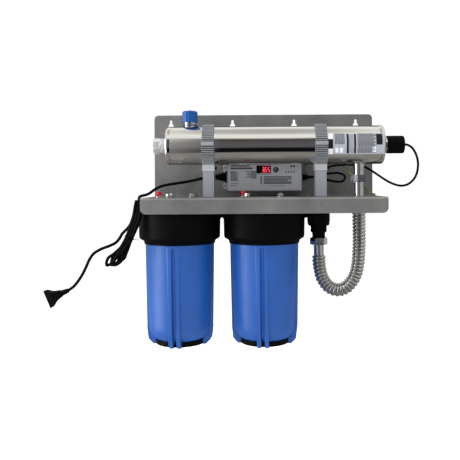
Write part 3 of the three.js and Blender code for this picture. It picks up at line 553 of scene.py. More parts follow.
def hank_run(lane, top, end, loop_left):
    """One run from below the hank's upper turn to just above its lower loop."""
    left, back = lane
    spots = [(top + 0.05, left, back), (0.3, left, back), (HANK_WAIST, left * 0.9, back * 0.9)]
    for share in (0.35, 0.75, 1.0):
        along = HANK_WAIST + (end - 0.07 - HANK_WAIST) * share
        blend = share ** 1.3
        spots.append((along, left * (1 - blend) + loop_left * blend, back * (1 - 0.25 * blend)))
    return [hank_point(*spot) for spot in spots]


def mains_route():
    path = [Vector(p) for p in SHELF_RUN]
    top = 0.03
    for fold, (end, middle) in enumerate(HANK_FOLDS):
        down, up = HANK_LANES[2 * fold], HANK_LANES[2 * fold + 1]
        path += hank_run(down, top, end, middle + LOOP_HALF)
        path.append(hank_point(end, middle, (down[1] + up[1]) / 2))
        top = UPPER_TURNS[fold]
        path += reversed(hank_run(up, top, end, middle - LOOP_HALF))
        after = HANK_LANES[2 * fold + 2]
        path.append(hank_point(top, (up[0] + after[0]) / 2, (up[1] + after[1]) / 2))
    left, back = HANK_LANES[-1]
    path += [hank_point(*at, back) for at in ((top + 0.05, left), (0.25, left + 1.5), (0.4, left + 3.2))]
    return catmull(path + [Vector(p) for p in PLUG_LEAD[1:]], 12)


def curve_cord(name, path, radius, material, nodes):
    data = bpy.data.curves.new(name, "CURVE")
    data.dimensions = "3D"
    data.bevel_depth = radius * MM
    data.bevel_resolution = 5
    data.use_fill_caps = True
    spline = data.splines.new("POLY")
    spline.points.add(len(path) - 1)
    for point, place in zip(spline.points, path):
        point.co = (*(place * MM), 1)
    thing = new_object(name, data)
    spline.use_smooth = True
    return finish_piece(thing, material, "root", nodes)


def metres(path):
    return [tuple(p * MM) for p in path]


def make_mains_lead():
    path = resample(mains_route(), 2.5)
    cad_nodes = ("power_cord", "cord_hank", "power_lead")
    lead = curve_cord("mains_lead", path, CORD_R, look["cord_rubber"], cad_nodes)


def make_lamp_cable():
    path = resample(catmull(LAMP_RUN), 2.5)
    cable = curve_cord("lamp_lead", path, LAMP_CABLE_R, look["cord_rubber"], ("lamp_cable",))
    length_of(path) * MM


def make_earth_wire():
    """Green insulation with a yellow stripe that winds slowly round it."""
    path = resample(catmull(EARTH_RUN), 1.5)
    sides = 16

    def stripe(ring, side):
        return 1 if (side + ring // 3) % sides < sides * 0.42 else 0
    shape = Shape().tube(path, EARTH_R, sides, stripe=stripe)
    wire = piece("earth_lead", shape, [look["earth_green"], look["earth_yellow"]], nodes=("earth_wire",))
    length_of(path) * MM
    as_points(metres(path))


HOSE_R = 15.8
HOSE_PITCH = 8.0
HOSE_DEPTH = 3.4


# Middle line of the hose between its two cuffs, as (x, z).
HOSE_RUN = [
    (126.4, -252), (128.4, -269), (134.5, -290), (149, -309), (168, -316.5), (188, -311),
    (203, -295.5), (211.8, -277.5), (216.4, -256), (218.5, -232), (219.5, -205), (219.5, -160),
]


def hose_path():
    line = [(ELBOW_X, -236.3), *HOSE_RUN, (INLET_X, -118.3)]
    return resample(catmull([Vector((x, AXIS_Y, z)) for x, z in line], 12), HOSE_PITCH / 14)


def make_hose():
    """Annular corrugations: round crests with narrower valleys between them."""
    path = hose_path()

    def radius(distance):
        wave = abs(math.sin(math.pi * distance / HOSE_PITCH))
        return HOSE_R - HOSE_DEPTH * (1 - wave ** 0.7)
    hose = piece("hose", Shape().tube(path, radius, 40), look["hose_steel"], nodes=("flex_hose",),
                 angle=80)
    length_of(path) * MM
    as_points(metres(path[::14]))


# ------------------------------------------------------------------ bracket
def dress(node, kind, bevel=0.0, segments=2, angle=30.0):
    """Gives a CAD node that stays in the picture its material and softly broken edges."""
    thing = bpy.data.objects[node]
    thing.data.materials.clear()
    thing.data.materials.append(look[kind])
    if bevel:
        add_bevel(thing, bevel, segments, angle)
    return thing


# ------------------------------------------------------------------ chamber
def arc(center, radius, start, end, steps=8):
    """Points of a circular arc, angles in degrees, as (u, v)."""
    out = []
    for i in range(steps + 1):
        angle = math.radians(start + (end - start) * i / steps)
        out.append((center[0] + radius * math.cos(angle), center[1] + radius * math.sin(angle)))
    return out


CHAMBER_LEFT = -224.5
CHAMBER_RIGHT = 276.0
NECK_LEFT = -227.0                # places that the fittings on the two necks are measured from
NECK_RIGHT = 279.0
CHAMBER_EDGE = 7.0
CHAMBER_WALL = 2.0
OUTLET_TOP = 86.0
INLET_BOTTOM = -58.0
END_NECK_R = 15.0


def chamber_profile(radius, left, right, edge, seams=False):
    profile = [(0, left)] + arc((radius - edge, left + edge), edge, -90, 0)
    if seams:
        for place in (left + 13, right - 13):
            profile += [(radius, place - 0.9), (radius - 0.35, place), (radius, place + 0.9)]
    profile += arc((radius - edge, right - edge), edge, 0, 90)
    return profile + [(0, right)]


def bore(radius, low, high, axis, at):
    """A plain rod that cuts a round hole."""
    return Shape().lathe([(0, low), (radius, low), (radius, high), (0, high)], axis, at, 48)


def make_chamber():
    centre = (0, AXIS_Y, CHAMBER_Z)
    outside = chamber_profile(CHAMBER_R, CHAMBER_LEFT, CHAMBER_RIGHT, CHAMBER_EDGE, True)
    body = Shape().lathe(outside, "x", centre, 160)
    inner = CHAMBER_R - CHAMBER_WALL
    over_outlet, over_inlet = (OUTLET_X, AXIS_Y, 0), (INLET_X, AXIS_Y, 0)
    left_neck = [(0, NECK_LEFT - 11), (14.4, NECK_LEFT - 11), (END_NECK_R, NECK_LEFT - 10.4),
                 (END_NECK_R, CHAMBER_LEFT + 2), (0, CHAMBER_LEFT + 2)]
    right_neck = [(0, CHAMBER_RIGHT - 2), (END_NECK_R, CHAMBER_RIGHT - 2), (END_NECK_R, NECK_RIGHT + 10.4),
                  (14.4, NECK_RIGHT + 11), (0, NECK_RIGHT + 11)]
    outlet = [(0, CHAMBER_Z + inner - 6), (14, CHAMBER_Z + inner - 6), (14, 66.6), (13.4, 67.2), (13.4, 68.8),
              (14, 69.4), (14, OUTLET_TOP - 0.8), (13.2, OUTLET_TOP), (0, OUTLET_TOP)]
    inlet = [(0, INLET_BOTTOM), (11.4, INLET_BOTTOM), (12, INLET_BOTTOM + 0.7), (12, -38), (11.2, -37.2),
             (11.2, -35.4), (12, -34.6), (12, CHAMBER_Z - inner + 5), (0, CHAMBER_Z - inner + 5)]
    necks = [Shape().lathe(left_neck, "x", centre), Shape().lathe(right_neck, "x", centre),
             Shape().lathe(outlet, "z", over_outlet), Shape().lathe(inlet, "z", over_inlet)]
    hollow = [
        Shape().lathe(chamber_profile(inner, CHAMBER_LEFT + 2, CHAMBER_RIGHT - 2, 5), "x", centre, 64),
        bore(10.8, CHAMBER_LEFT - 20, CHAMBER_LEFT + 20, "x", centre),
        bore(13.8, CHAMBER_RIGHT - 20, CHAMBER_RIGHT + 20, "x", centre),
        bore(10.5, CHAMBER_Z, OUTLET_TOP + 2, "z", over_outlet),
        bore(9, INLET_BOTTOM - 2, CHAMBER_Z, "z", over_inlet),
    ]
    chamber = solid("chamber", body, necks, hollow)
    finish_piece(chamber, look["polished_steel"], "root", ("uv_chamber",))
    weld_bead("outlet", OUTLET_X, 14, 1)
    weld_bead("inlet", INLET_X, 12, -1)


def weld_bead(name, x, radius, side):
    """The seam where a port's tube meets the chamber wall, a saddle-shaped ring."""
    path = []
    for i in range(97):
        angle = 2 * math.pi * i / 96
        across = (radius + 0.3) * math.sin(angle)
        rise = math.sqrt(CHAMBER_R ** 2 - across ** 2)
        path.append(Vector((x + (radius + 0.3) * math.cos(angle), AXIS_Y + across, CHAMBER_Z + side * rise)))
    piece(f"{name}_weld", Shape().tube(path, 0.7, 8), look["chrome"])


def make_chamber_ends():
    """Collar and plug on the left neck; nut and lamp cap on the right one. Heights run along the chamber."""
    centre = (0, AXIS_Y, CHAMBER_Z)
    foot = CHAMBER_RIGHT + 0.4
    gland = [(15.3, 0), (17, 0), (17.5, 0.6), (17.5, 4.0), (16.9, 4.6), (17.5, 5.2), (17.5, 15.0), (17, 15.6),
             (12.9, 15.6), (12.9, 13.4), (15.3, 13.4)]
    turned("lamp_nut", raised(gland, foot), "x", centre, "chrome", "gland_nut")
    inner_end = CHAMBER_LEFT - 0.6
    collar = [(15.3, 12.9), (16.8, 12.9), (17.4, 12.3), (17.4, 7.7), (16.3, 6.6), (16.3, 6.0), (17.4, 4.9),
              (17.4, 0.6), (16.9, 0), (15.3, 0)]
    turned("neck_collar", raised(collar, inner_end, -1), "x", centre, "satin_steel", "end_collar")
    seat = NECK_LEFT - 11.4
    shank = [(0, seat - 0.2), (10.4, seat - 0.2), (10.4, seat + 14), (0, seat + 14)]
    plug = hexagon_bar(17.8, seat - 16, seat, 1.2).lathe(shank, "z", (0, 0, 0), 48)
    plug.place(Matrix.Translation(centre) @ Matrix.Rotation(math.pi / 2, 4, "Y"))
    piece("neck_plug", plug, look["satin_steel"], nodes=("end_plug",))
    mouth = NECK_RIGHT + 5
    cap = [(17.9, 0), (19.2, 0), *arc((18.9, 1.6), 1.6, -60, 0, 4), (20.5, 16), (20.1, 16.5), (20.1, 17.4),
           (20.5, 17.9), *arc((17.0, 36.5), 3.5, 0, 90, 6), (5.2, 40), (4.7, 42.5), (3.0, 43.5), (0, 43.5),
           (0, 16.4), (17.9, 16.4)]
    turned("lamp_cap", raised(cap, mouth), "x", centre, "black_plastic", "lamp_connector")


def hexagon_bar(radius, low, high, chamfer, twist=0.0):
    """A hexagonal bar along +Z whose corners are cut by a cone at both ends, as a nut's are."""
    shape = Shape()
    steps = 12
    rows = []
    flat = radius * math.cos(math.pi / 6)
    for height, limit in ((low, flat), (low + chamfer, radius), (high - chamfer, radius), (high, flat)):
        row = []
        for i in range(6 * steps):
            angle = 2 * math.pi * i / (6 * steps)
            turn = (angle + math.pi / 6) % (math.pi / 3) - math.pi / 6
            edge = flat / math.cos(math.pi / 6 - abs(turn))
            row.append((min(edge, limit), angle + twist, height))
        rows.append(row)
    verts = [Vector((0, 0, low))]
    for row in rows:
        verts += [Vector((r * math.cos(a), r * math.sin(a), h)) for r, a, h in row]
    verts.append(Vector((0, 0, high)))
    count = 6 * steps
    faces = []
    for i in range(count):
        j = (i + 1) % count
        faces.append((0, 1 + j, 1 + i))
        for k in range(3):
            a, b = 1 + k * count, 1 + (k + 1) * count
            faces.append((a + i, a + j, b + j, b + i))
        faces.append((1 + 3 * count + i, 1 + 3 * count + j, len(verts) - 1))
    return shape.add(verts, faces)


FLUTED_SEGMENTS = 144
FLUTED_FROM_R = 15.5              # only the outside is fluted


def fluted(profile, at, flutes, depth, low, high):
    """A turned piece with soft grip flutes between two heights."""
    shape = Shape().lathe(profile, "z", (0, 0, 0), FLUTED_SEGMENTS)
    for vertex in shape.verts:
        reach = math.hypot(vertex.x, vertex.y)
        if reach > FLUTED_FROM_R and low < vertex.z < high:
            fade = min(1.0, (vertex.z - low) / 2, (high - vertex.z) / 3)
            wave = 0.5 - 0.5 * math.cos(flutes * math.atan2(vertex.y, vertex.x))
            factor = 1 - depth * fade * wave ** 2 / reach
            vertex.x *= factor
            vertex.y *= factor
    shape.verts = [v + Vector(at) for v in shape.verts]
    return shape


def make_outlet():
    at = (OUTLET_X, AXIS_Y, 0)
    ring = [(14.4, 64.2), (16.9, 64.2), (17.4, 64.8), (17.4, 65.8), (16.8, 66.4), (14.4, 66.4)]
    turned("outlet_ring", ring, "z", at, "cap_blue", "outlet_collar")
    side = [(17.8, 72.6 + 2 * i) for i in range(10)]
    profile = ([(14.4, 72), (17.3, 72)] + side + arc((13.3, 94.2), 4.5, 0, 84, 8)
               + [(8, 98.9), (2.6, 99.1), (2.2, 100.6), (1.2, 101.1), (0, 101.1), (0, 87), (14.4, 87)])
    cap = fluted(profile, at, 12, 0.55, 73.5, 95)
    piece("outlet_plug", cap, look["cap_blue"], "outlet_cap", ("outlet_cap",), angle=50)


# ------------------------------------------------------------------ clamps
CLAMP_RIB_PITCH = 4.2
CLAMP_BAND = 4.2
CLAMP_RIB = 1.2
CLAMP_GROOVE = 2.2
RIBS_FROM, RIBS_TO = 112, 262     # part of the ring that is ribbed, in degrees from the wall side
LUG_FOOT = -41.0                  # underside of the lug that stands on the post


def clamp_section(start, end, ribs):
    """Part of the clamp's ring between two angles, degrees from the wall side; ribs cover the front."""
    inner = CHAMBER_R + 0.6
    outer = CHAMBER_R + 0.3 + CLAMP_BAND
    steps = max(8, int(abs(end - start) / (0.3 if ribs else 1.2)))
    out = []
    for i in range(steps + 1):
        degrees = start + (end - start) * i / steps
        angle = math.radians(degrees)
        reach = outer
        if ribs and RIBS_FROM < degrees < RIBS_TO:
            phase = outer * math.radians(degrees - RIBS_FROM) / CLAMP_RIB_PITCH * 2 * math.pi
            crest = min(1.0, max(0.0, 0.58 - 2.6 * math.cos(phase)))
            reach += CLAMP_RIB * crest - CLAMP_GROOVE * (1 - crest)
        out.append((AXIS_Y + reach * math.cos(angle), CHAMBER_Z + reach * math.sin(angle)))
    back = int(abs(end - start) / 2.5) + 1
    for i in range(back + 1):
        angle = math.radians(end + (start - end) * i / back)
        out.append((AXIS_Y + inner * math.cos(angle), CHAMBER_Z + inner * math.sin(angle)))
    return out


def paint_groove_shade(shape):
    """Marks the faces that lie in the grooves between the ribs, for a dark grey that stands in for the shade
    in them: painted shade.
    """
    floor = CHAMBER_R + 0.3 + CLAMP_BAND - CLAMP_GROOVE * 0.35
    inner = CHAMBER_R + 0.7
    for index, face in enumerate(shape.faces):
        reach = [math.hypot(shape.verts[i].y - AXIS_Y, shape.verts[i].z - CHAMBER_Z) for i in face]
        if len(face) == 4 and inner < min(reach) and max(reach) < floor:
            shape.marks[index] = 1
    return shape


def make_clamp(side):
    x = CLAMP_X[side]
    upper = paint_groove_shade(Shape().prism(clamp_section(2, 176, True), "x", x - 13.1, x + 13.1))
    lower = paint_groove_shade(Shape().prism(clamp_section(176.6, 248, True), "x", x - 14, x + 14))
    lower.prism(clamp_section(292, 361.4, False), "x", x - 14, x + 14)
    hook = [(AXIS_Y - 52.4, CHAMBER_Z - 1.5), (AXIS_Y - 49, CHAMBER_Z - 1.5), (AXIS_Y - 49, CHAMBER_Z + 7),
            (AXIS_Y - 51.6, CHAMBER_Z + 6.4)]
    lower.prism(hook, "x", x - 14, x + 14)
    inner = CHAMBER_R + 0.6
    base = [(AXIS_Y - 22, LUG_FOOT), (AXIS_Y + 22, LUG_FOOT), (AXIS_Y + 22, -27.5)]
    for i in range(17):
        angle = math.radians(-62.5) - (math.pi - 2 * math.radians(27.5)) * i / 16
        base.append((AXIS_Y + inner * math.cos(angle), CHAMBER_Z + inner * math.sin(angle)))
    base.append((AXIS_Y - 22, -27.5))
    lower.prism(rounded([(*p, 1.5 if i < 2 else 0) for i, p in enumerate(base)]), "x", x - 14, x + 14,
                mark=2)
    # the second slot is painted shade for the grooves between the ribs
    greys = [look["grey_plastic"], look["painted_groove_shade"], look["lug_grey"]]
    piece(f"clamp_upper_{side}", upper, greys, angle=40, bevel=0.2)
    piece(f"clamp_lower_{side}", lower, greys, nodes=(f"clamp_ring_{side}",),
          angle=40, bevel=0.2)
    screw = [(0, 0), (1.6, 0), (1.6, 1.2), (3.6, 1.2), (4.0, 1.8), (4.0, 4.0), (3.4, 4.6), (2.2, 4.6),
             (1.9, 3.4), (0, 3.4)]
    turned(f"clamp_screw_{side}", screw, "x", (x + 14, AXIS_Y - 14, -34), "black_plastic", segments=32)
    dress(f"clamp_post_{side}", "post_grey", 0.8, 3)


# ------------------------------------------------------------------ filters
HEAD_TOP = -103.3
HEAD_BOTTOM = -205.5
# Bolts from above into each head, the two that are nodes of their own first.
BOLT_PLACES = {
    "left": [(-22, -30), (31, 30), (31, -30), (-22, 30)],
    "right": [(-38, -30), (38, 30), (38, -30), (-38, 30)],
}
VALVE_AT = (-47, -8)


def make_head(side):
    x = HEAD_X[side]
    at = (x, AXIS_Y, 0)
    outline = [(0, HEAD_TOP), (60, HEAD_TOP), (63, HEAD_TOP - 1), (65.5, HEAD_TOP - 3.2), (86, -115.6),
               (89.5, -117.6), (92.4, -120.6), (93.6, -124), (93.8, -127), (93.8, -137), (93.1, -137.6),
               (93.1, -139.2), (93.7, -139.8), (93, -187.6), (92.4, -191.4), (91, -193.6), (83.4, -198),
               (82, -199.8), (81, HEAD_BOTTOM), (0, HEAD_BOTTOM)]
    body = Shape().lathe(outline, "z", at, 144)
    joined = []
    for sign in (-1, 1):
        boss = [(0, 50), (23.5, 50), (23.5, 92.6), (22.3, 92.9), (22.3, 93.6), (23.5, 93.9), (23.1, 95),
                (0, 95)]
        joined.append(Shape().lathe([(r, sign * h) for r, h in boss], "x", (x, AXIS_Y, PORT_Z), 96))
    for i in range(12):
        rib = Shape().block(66, 92.4, -1.6, 1.6, -137, -113)
        angle = 2 * math.pi * (i + 0.5) / 12
        if abs(math.sin(angle)) > 0.35:
            joined.append(rib.place(Matrix.Translation(at) @ Matrix.Rotation(angle, 4, "Z")))
    cuts = [Shape().lathe([(0, -150), (70, -150), (70, -159.5), (79, -159.5), (79, HEAD_BOTTOM - 2),
                           (0, HEAD_BOTTOM - 2)], "z", at, 96)]
    for sign in (-1, 1):
        thread = [(0, sign * 97), (16, sign * 97)]
        for i in range(8):
            depth = 94.2 - 2.0 * i
            thread += [(16, sign * depth), (15.0, sign * (depth - 1))]
        thread += [(14.5, sign * 45), (0, sign * 45)]
        cuts.append(Shape().lathe(thread, "x", (x, AXIS_Y, PORT_Z), 48))
    head = solid(f"head_{side}", body, joined, cuts)
    finish_piece(head, look["black_plastic"], "root", (f"filter_head_{side}",))


SUMP_TOP = -165.0
SUMP_BOTTOM = -427.0
SUMP_FOOT = -435.5
SUMP_RIB_TURN = -math.pi / 2 - 0.07
SUMP_SHOULDER = -207.0            # where the bowl leaves the head and its taper begins
SUMP_CURVE = 34.0                 # radius of the rounded bottom
RIB_OUTER = (78.9, 75.4)          # ribs' reach at the shoulder and at the foot
RIB_FLANKS = (4.0, 13.6)          # where a rib's face starts and ends, from the middle of its pair
GROOVE_TOP = -211.0
GROOVE_DEPTH = 3.9


def sump_radius(z):
    """The plain body's outer radius at a height."""
    taper = 78.3 + (71.0 - 78.3) * (SUMP_SHOULDER - z) / (SUMP_SHOULDER - SUMP_BOTTOM)
    if z > SUMP_SHOULDER:
        return 78.5
    low = SUMP_BOTTOM + SUMP_CURVE
    if z < low:
        drop = (low - z) / SUMP_CURVE
        return taper - SUMP_CURVE * (1 - math.sqrt(max(0.0, 1 - drop ** 2)))
    return taper


def ease(value, low, high):
    """A soft step from 0 below the low end to 1 above the high end."""
    t = min(1.0, max(0.0, (value - low) / (high - low)))
    return t * t * (3 - 2 * t)


def sump_reach(angle, z):
    """The bowl's outer radius at an angle and a height, with its four pairs of ribs."""
    base = sump_radius(z)
    if z > SUMP_SHOULDER:
        return base
    turn = (angle - SUMP_RIB_TURN + math.pi / 4) % (math.pi / 2) - math.pi / 4
    away = abs(turn) * 75
    share = (SUMP_SHOULDER - z) / (SUMP_SHOULDER - SUMP_BOTTOM)
    outer = RIB_OUTER[0] + (RIB_OUTER[1] - RIB_OUTER[0]) * share
    curve = max(0.0, SUMP_BOTTOM + SUMP_CURVE - z) / SUMP_CURVE
    outer -= 9.0 * curve ** 2
    rise = min(1.0, max(0.0, (GROOVE_TOP - z) / 8))
    groove = RIB_FLANKS[0] * math.sqrt(1 - (1 - rise) ** 2)
    face = (1 - ease(away, RIB_FLANKS[1] - 0.8, RIB_FLANKS[1] + 0.8))
    sunk = (1 - ease(away, groove - 0.9, groove + 0.9)) * ease(rise, 0.0, 0.25)
    return base + (outer - base) * face * (1 - sunk) - GROOVE_DEPTH * sunk * (1 - curve)


def make_sump(side):
    """A tapered bowl with four pairs of flat-faced ribs that run down into the feet, round a central black
    disc that stands in for the shade under the bowl: painted shade.
    """
    x = HEAD_X[side]
    at = Vector((x, AXIS_Y, 0))
    segments = 480
    heights = [SUMP_TOP, -203, -206.9, -208, -209.5, *range(-211, -220, -1), -221, -225, -232, -240,
               *range(-260, -361, -25), -378, -388, -395, -400, -404, -408, -411.5, -414.5, -417.5, -420,
               -422.2, -424, -425.4, -426.3, -426.8]
    verts = []
    for z in heights:
        for i in range(segments):
            angle = 2 * math.pi * i / segments
            reach = sump_reach(angle, z)
            verts.append(at + Vector((reach * math.cos(angle), reach * math.sin(angle), z)))
    rows = len(heights)
    verts.append(at + Vector((0, 0, SUMP_BOTTOM)))
    faces = []
    for row in range(rows - 1):
        for i in range(segments):
            j = (i + 1) % segments
            a, b = row * segments, (row + 1) * segments
            faces.append((a + i, b + i, b + j, a + j))
    last = (rows - 1) * segments
    faces += [(last + i, len(verts) - 1, last + (i + 1) % segments) for i in range(segments)]
    inner = [(73.5, SUMP_TOP), (73.2, -209), (65.5, SUMP_BOTTOM + 34), (58, SUMP_BOTTOM + 12),
             (40, SUMP_BOTTOM + 5.4), (0, SUMP_BOTTOM + 5)]
    start = len(verts)
    for radius, z in inner[:-1]:
        for i in range(segments):
            angle = 2 * math.pi * i / segments
            verts.append(at + Vector((radius * math.cos(angle), radius * math.sin(angle), z)))
    verts.append(at + Vector((0, 0, inner[-1][1])))
    for i in range(segments):
        j = (i + 1) % segments
        faces.append((i, j, start + j, start + i))
        for row in range(len(inner) - 2):
            a, b = start + row * segments, start + (row + 1) * segments
            faces.append((a + i, a + j, b + j, b + i))
        tail = start + (len(inner) - 2) * segments
        faces.append((tail + i, tail + j, len(verts) - 1))
    shape = Shape().add(verts, faces)
    piece(f"bowl_{side}", shape, look["sump_blue"], f"sump_{side}", (f"sump_{side}",), angle=42)
    feet = Shape()
    middle, width = sum(RIB_FLANKS) / 2, RIB_FLANKS[1] - RIB_FLANKS[0]
    outline = rounded([(60, SUMP_BOTTOM + 20), (44, SUMP_BOTTOM + 5), (38, SUMP_BOTTOM + 1.5),
                       (42, SUMP_FOOT + 2, 3), (46, SUMP_FOOT, 3), (61, SUMP_FOOT, 4), (72.2, -424.5, 12),
                       (75.4, -396, 14), (74, -390), (70, -388)])
    for pair in range(4):
        for sign in (-1, 1):
            rib = Shape().prism(outline, "y", sign * middle - width / 2 + 0.4,
                                sign * middle + width / 2 - 0.4)
            turn = SUMP_RIB_TURN + math.pi / 2 * pair
            rib.place(Matrix.Translation(at) @ Matrix.Rotation(turn, 4, "Z"))
            feet.add(rib.verts, rib.faces)
    # painted shade: a black disc under the bowl in place of the shadow beneath it
    shadow_disc = [(0, -434.5), (55, -434.5), (56, -433.5), (56, SUMP_BOTTOM + 4), (0, SUMP_BOTTOM + 4)]
    feet.lathe(shadow_disc, "z", tuple(at), 96, mark=1)
    piece(f"bowl_feet_{side}", feet, [look["sump_blue"], look["rubber"]], f"sump_{side}",
          angle=35, bevel=0.7)


def make_valve(side):
    at = (HEAD_X[side] + VALVE_AT[0], AXIS_Y + VALVE_AT[1], 0)
    seat = [(2.6, -114.3), (3.7, -114.3), (3.7, -103), (6.8, -103), (7.2, -102.6), (7.2, -101.4),
            (6.6, -100.9), (6.6, -100.3), (7.2, -99.8), (7.2, -98.2), (6.8, -97.8), (2.6, -97.8)]
    turned(f"valve_seat_{side}", seat, "z", at, "chrome", f"relief_valve_{side}", segments=48)
    button = [(0, -110.3), (2.2, -110.3), (2.2, -95.5), (5.1, -95.5), (5.5, -95.1), (5.5, -92.6),
              (5.1, -92.2), (5.5, -91.8), (5.5, -89.2), *arc((3.9, -88.3), 1.6, 0, 80, 5), (2.0, -86.9),
              (0, -87.1)]
    joint = f"relief_button_{side}"
    turned(f"valve_button_{side}", button, "z", at, "red_plastic", joint, body=joint, segments=48)


def make_bolt(name, at, node, twist):
    bolt = Shape().lathe([(0, -118), (3.2, -118), (3.2, -99.7), (7.2, -99.7), (7.6, -99.3), (7.6, -98.3),
                          (7.2, -97.9), (0, -97.9)], "z", (0, 0, 0), 48)
    head = hexagon_bar(6.0, -98.2, -92, 0.6, twist)
    bolt.add(head.verts, head.faces)
    bolt.place(Matrix.Translation(at))
    piece(name, bolt, look["steel"], nodes=(node,) if node else ())


def make_filters():
    for side, x in HEAD_X.items():
        make_head(side)
        make_sump(side)
        make_valve(side)
        for index, (dx, dy) in enumerate(BOLT_PLACES[side]):
            node = f"head_bolt_{side}_{index + 1}" if index < 2 else None
            make_bolt(f"bolt_{side}_{index + 1}", (x + dx, AXIS_Y + dy, 0), node, 0.4 + 0.7 * index)
        dress(f"sump_ring_{side}", "rubber")
        dress(f"cartridge_{side}", "filter_white")
    dress("head_link", "black_plastic", 0.8)


# ------------------------------------------------------------------ hose line
def make_elbow():
    start = 95.3
    across, down = (0, AXIS_Y, PORT_Z), (ELBOW_X, AXIS_Y, 0)
    flange = [(0, start), (21.2, start), (22, start + 0.8), (22, start + 7), (21.2, start + 7.8),
              (19.5, start + 8), (19.5, ELBOW_X), (0, ELBOW_X)]
    stub = [(0, 65), (15.6, 65), (15.6, start + 3), (0, start + 3)]
    dome = [(0, -19), *arc((0, 0), 22.8, -80, 90, 24), (0, 22.8)]
    collar = [(0, -126.9), (22.8, -127), (22.8, -131), (24.6, -133.4), (26, -136), (26, -158), (25.2, -159.4),
              (25.2, -164), (24.4, -165.6), (22.8, -167.4), (0, -167.4)]
    joined = [Shape().lathe(stub, "x", across, 64), Shape().lathe(dome, "z", (ELBOW_X, AXIS_Y, PORT_Z)),
              Shape().lathe(collar, "z", down)]
    for i in range(8):
        rib = Shape().block(20, 26.0, -2, 2, -157, -137)
        turn = Matrix.Rotation(2 * math.pi * i / 8 + 0.2, 4, "Z")
        joined.append(rib.place(Matrix.Translation(down) @ turn))
    mouth = [(0, -170), (16, -170), (16, -145.4), (11.5, -145.4), (11.5, PORT_Z), (0, PORT_Z)]
    cuts = [bore(11.5, 64, ELBOW_X, "x", across), Shape().lathe(mouth, "z", down, 48)]
    elbow = solid("pipe_elbow", Shape().lathe(flange, "x", across), joined, cuts)
    finish_piece(elbow, look["black_plastic"], "root", ("elbow",))
    adapter = [(11, -203), (14.6, -203), (15, -202.6), (15, -190), (14.4, -189.4), (14.4, -188), (15, -187.4),
               (15, -184), (18.1, -182), (18.7, -181.2), (18.7, -176), (18.1, -175.4), (18.1, -174.6),
               (18.7, -174), (18.7, -168.3), (18.1, -167.7), (15.6, -167.7), (15.6, -147), (11, -147)]
    turned("hose_tail", adapter, "z", (ELBOW_X, AXIS_Y, 0), "black_plastic", "hose_adapter")


def make_nut(name, node, x, low, high, bore, twist, material):
    outer = hexagon_bar(20.4, low, high, 1.4, twist).place(Matrix.Translation((x, AXIS_Y, 0)))
    cut = Shape().lathe([(0, low - 1)] + [(bore[0], low - 1), (bore[0], bore[2]), (bore[1], bore[2]),
                        (bore[1], high + 1), (0, high + 1)], "z", (x, AXIS_Y, 0), 64)
    nut = solid(name, outer, (), [cut])
    finish_piece(nut, material, node, (node,))


def make_hose_fittings():
    make_elbow()
    make_nut("nut_lower", "hose_nut_lower", ELBOW_X, -211.5, -195.3, (12.3, 15.6, -206), 0.0, look["chrome"])
    make_nut("nut_upper", "hose_nut_upper", INLET_X, -67.5, -51, (10.9, 12.5, -61.5), 0.26, look["nut_steel"])
    lower = [(9, -236), (11.4, -236), (11.8, -235.6), (11.8, -205.7), (14.6, -205.7), (14.6, -203.3),
             (9, -203.3)]
    turned("cuff_lower", lower, "z", (ELBOW_X, AXIS_Y, 0), "polished_steel", "hose_cuff_lower")
    upper = [(8, -118), (10.1, -118), (10.5, -117.6), (10.5, -61.2), (12, -61.2), (12, -58.4), (8, -58.4)]
    turned("cuff_upper", upper, "z", (INLET_X, AXIS_Y, 0), "polished_steel", "hose_cuff_upper")


# ------------------------------------------------------------------ printing
PRINT_THICK = 0.05


def flat_bars(shape, bars, y):
    """Printed bars on a face that looks along -Y; each bar is (x, z, width, height) from its lower left."""
    for x, z, width, height in bars:
        shape.block(x, x + width, y - PRINT_THICK, y, z, z + height)
    return shape


def text_line(x, z, length, height, seed):
    """A row of short dashes that reads as a line of fine print without holding any letters."""
    out, at, step = [], x, 0
    while at < x + length - 0.3:
        word = 1.2 + 2.1 * abs(math.sin(seed * 12.9 + step * 4.7))
        word = min(word, x + length - at)
        out.append((at, z, word, height))
        at += word + 0.55
        step += 1
    return out


SEGMENTS = {"3": "abgcd", "6": "afgecd", "5": "afgcd"}


def seven_segment(shape, digit, x, z, width, height, y):
    """Slanted bars of a seven-segment figure whose lower left corner is at (x, z)."""
    bar, gap, slant = 0.9, 0.3, 0.1
    half = height / 2

    def strip(points):
        lean = [(x + u + slant * v, z + v) for u, v in points]
        shape.prism(lean, "y", y - 0.06, y)

    def across(level):
        low, mid, high = level - bar / 2, level, level + bar / 2
        strip([(gap, mid), (gap + bar / 2, low), (width - gap - bar / 2, low), (width - gap, mid),
               (width - gap - bar / 2, high), (gap + bar / 2, high)])

    def upright(place, low):
        top = low + half - gap
        low += gap
        strip([(place, low), (place + bar / 2, low + bar / 2), (place + bar / 2, top - bar / 2), (place, top),
               (place - bar / 2, top - bar / 2), (place - bar / 2, low + bar / 2)])
    for name in SEGMENTS[digit]:
        if name in "adg":
            across({"a": height, "d": 0.0, "g": half}[name])
        else:
            upright(width if name in "bc" else 0.0, half if name in "bf" else 0.0)


# ------------------------------------------------------------------ controller
FACE_Y = -59.2
DISPLAY_Y = -59.0
KEY_AT = (29.0, -37.0)


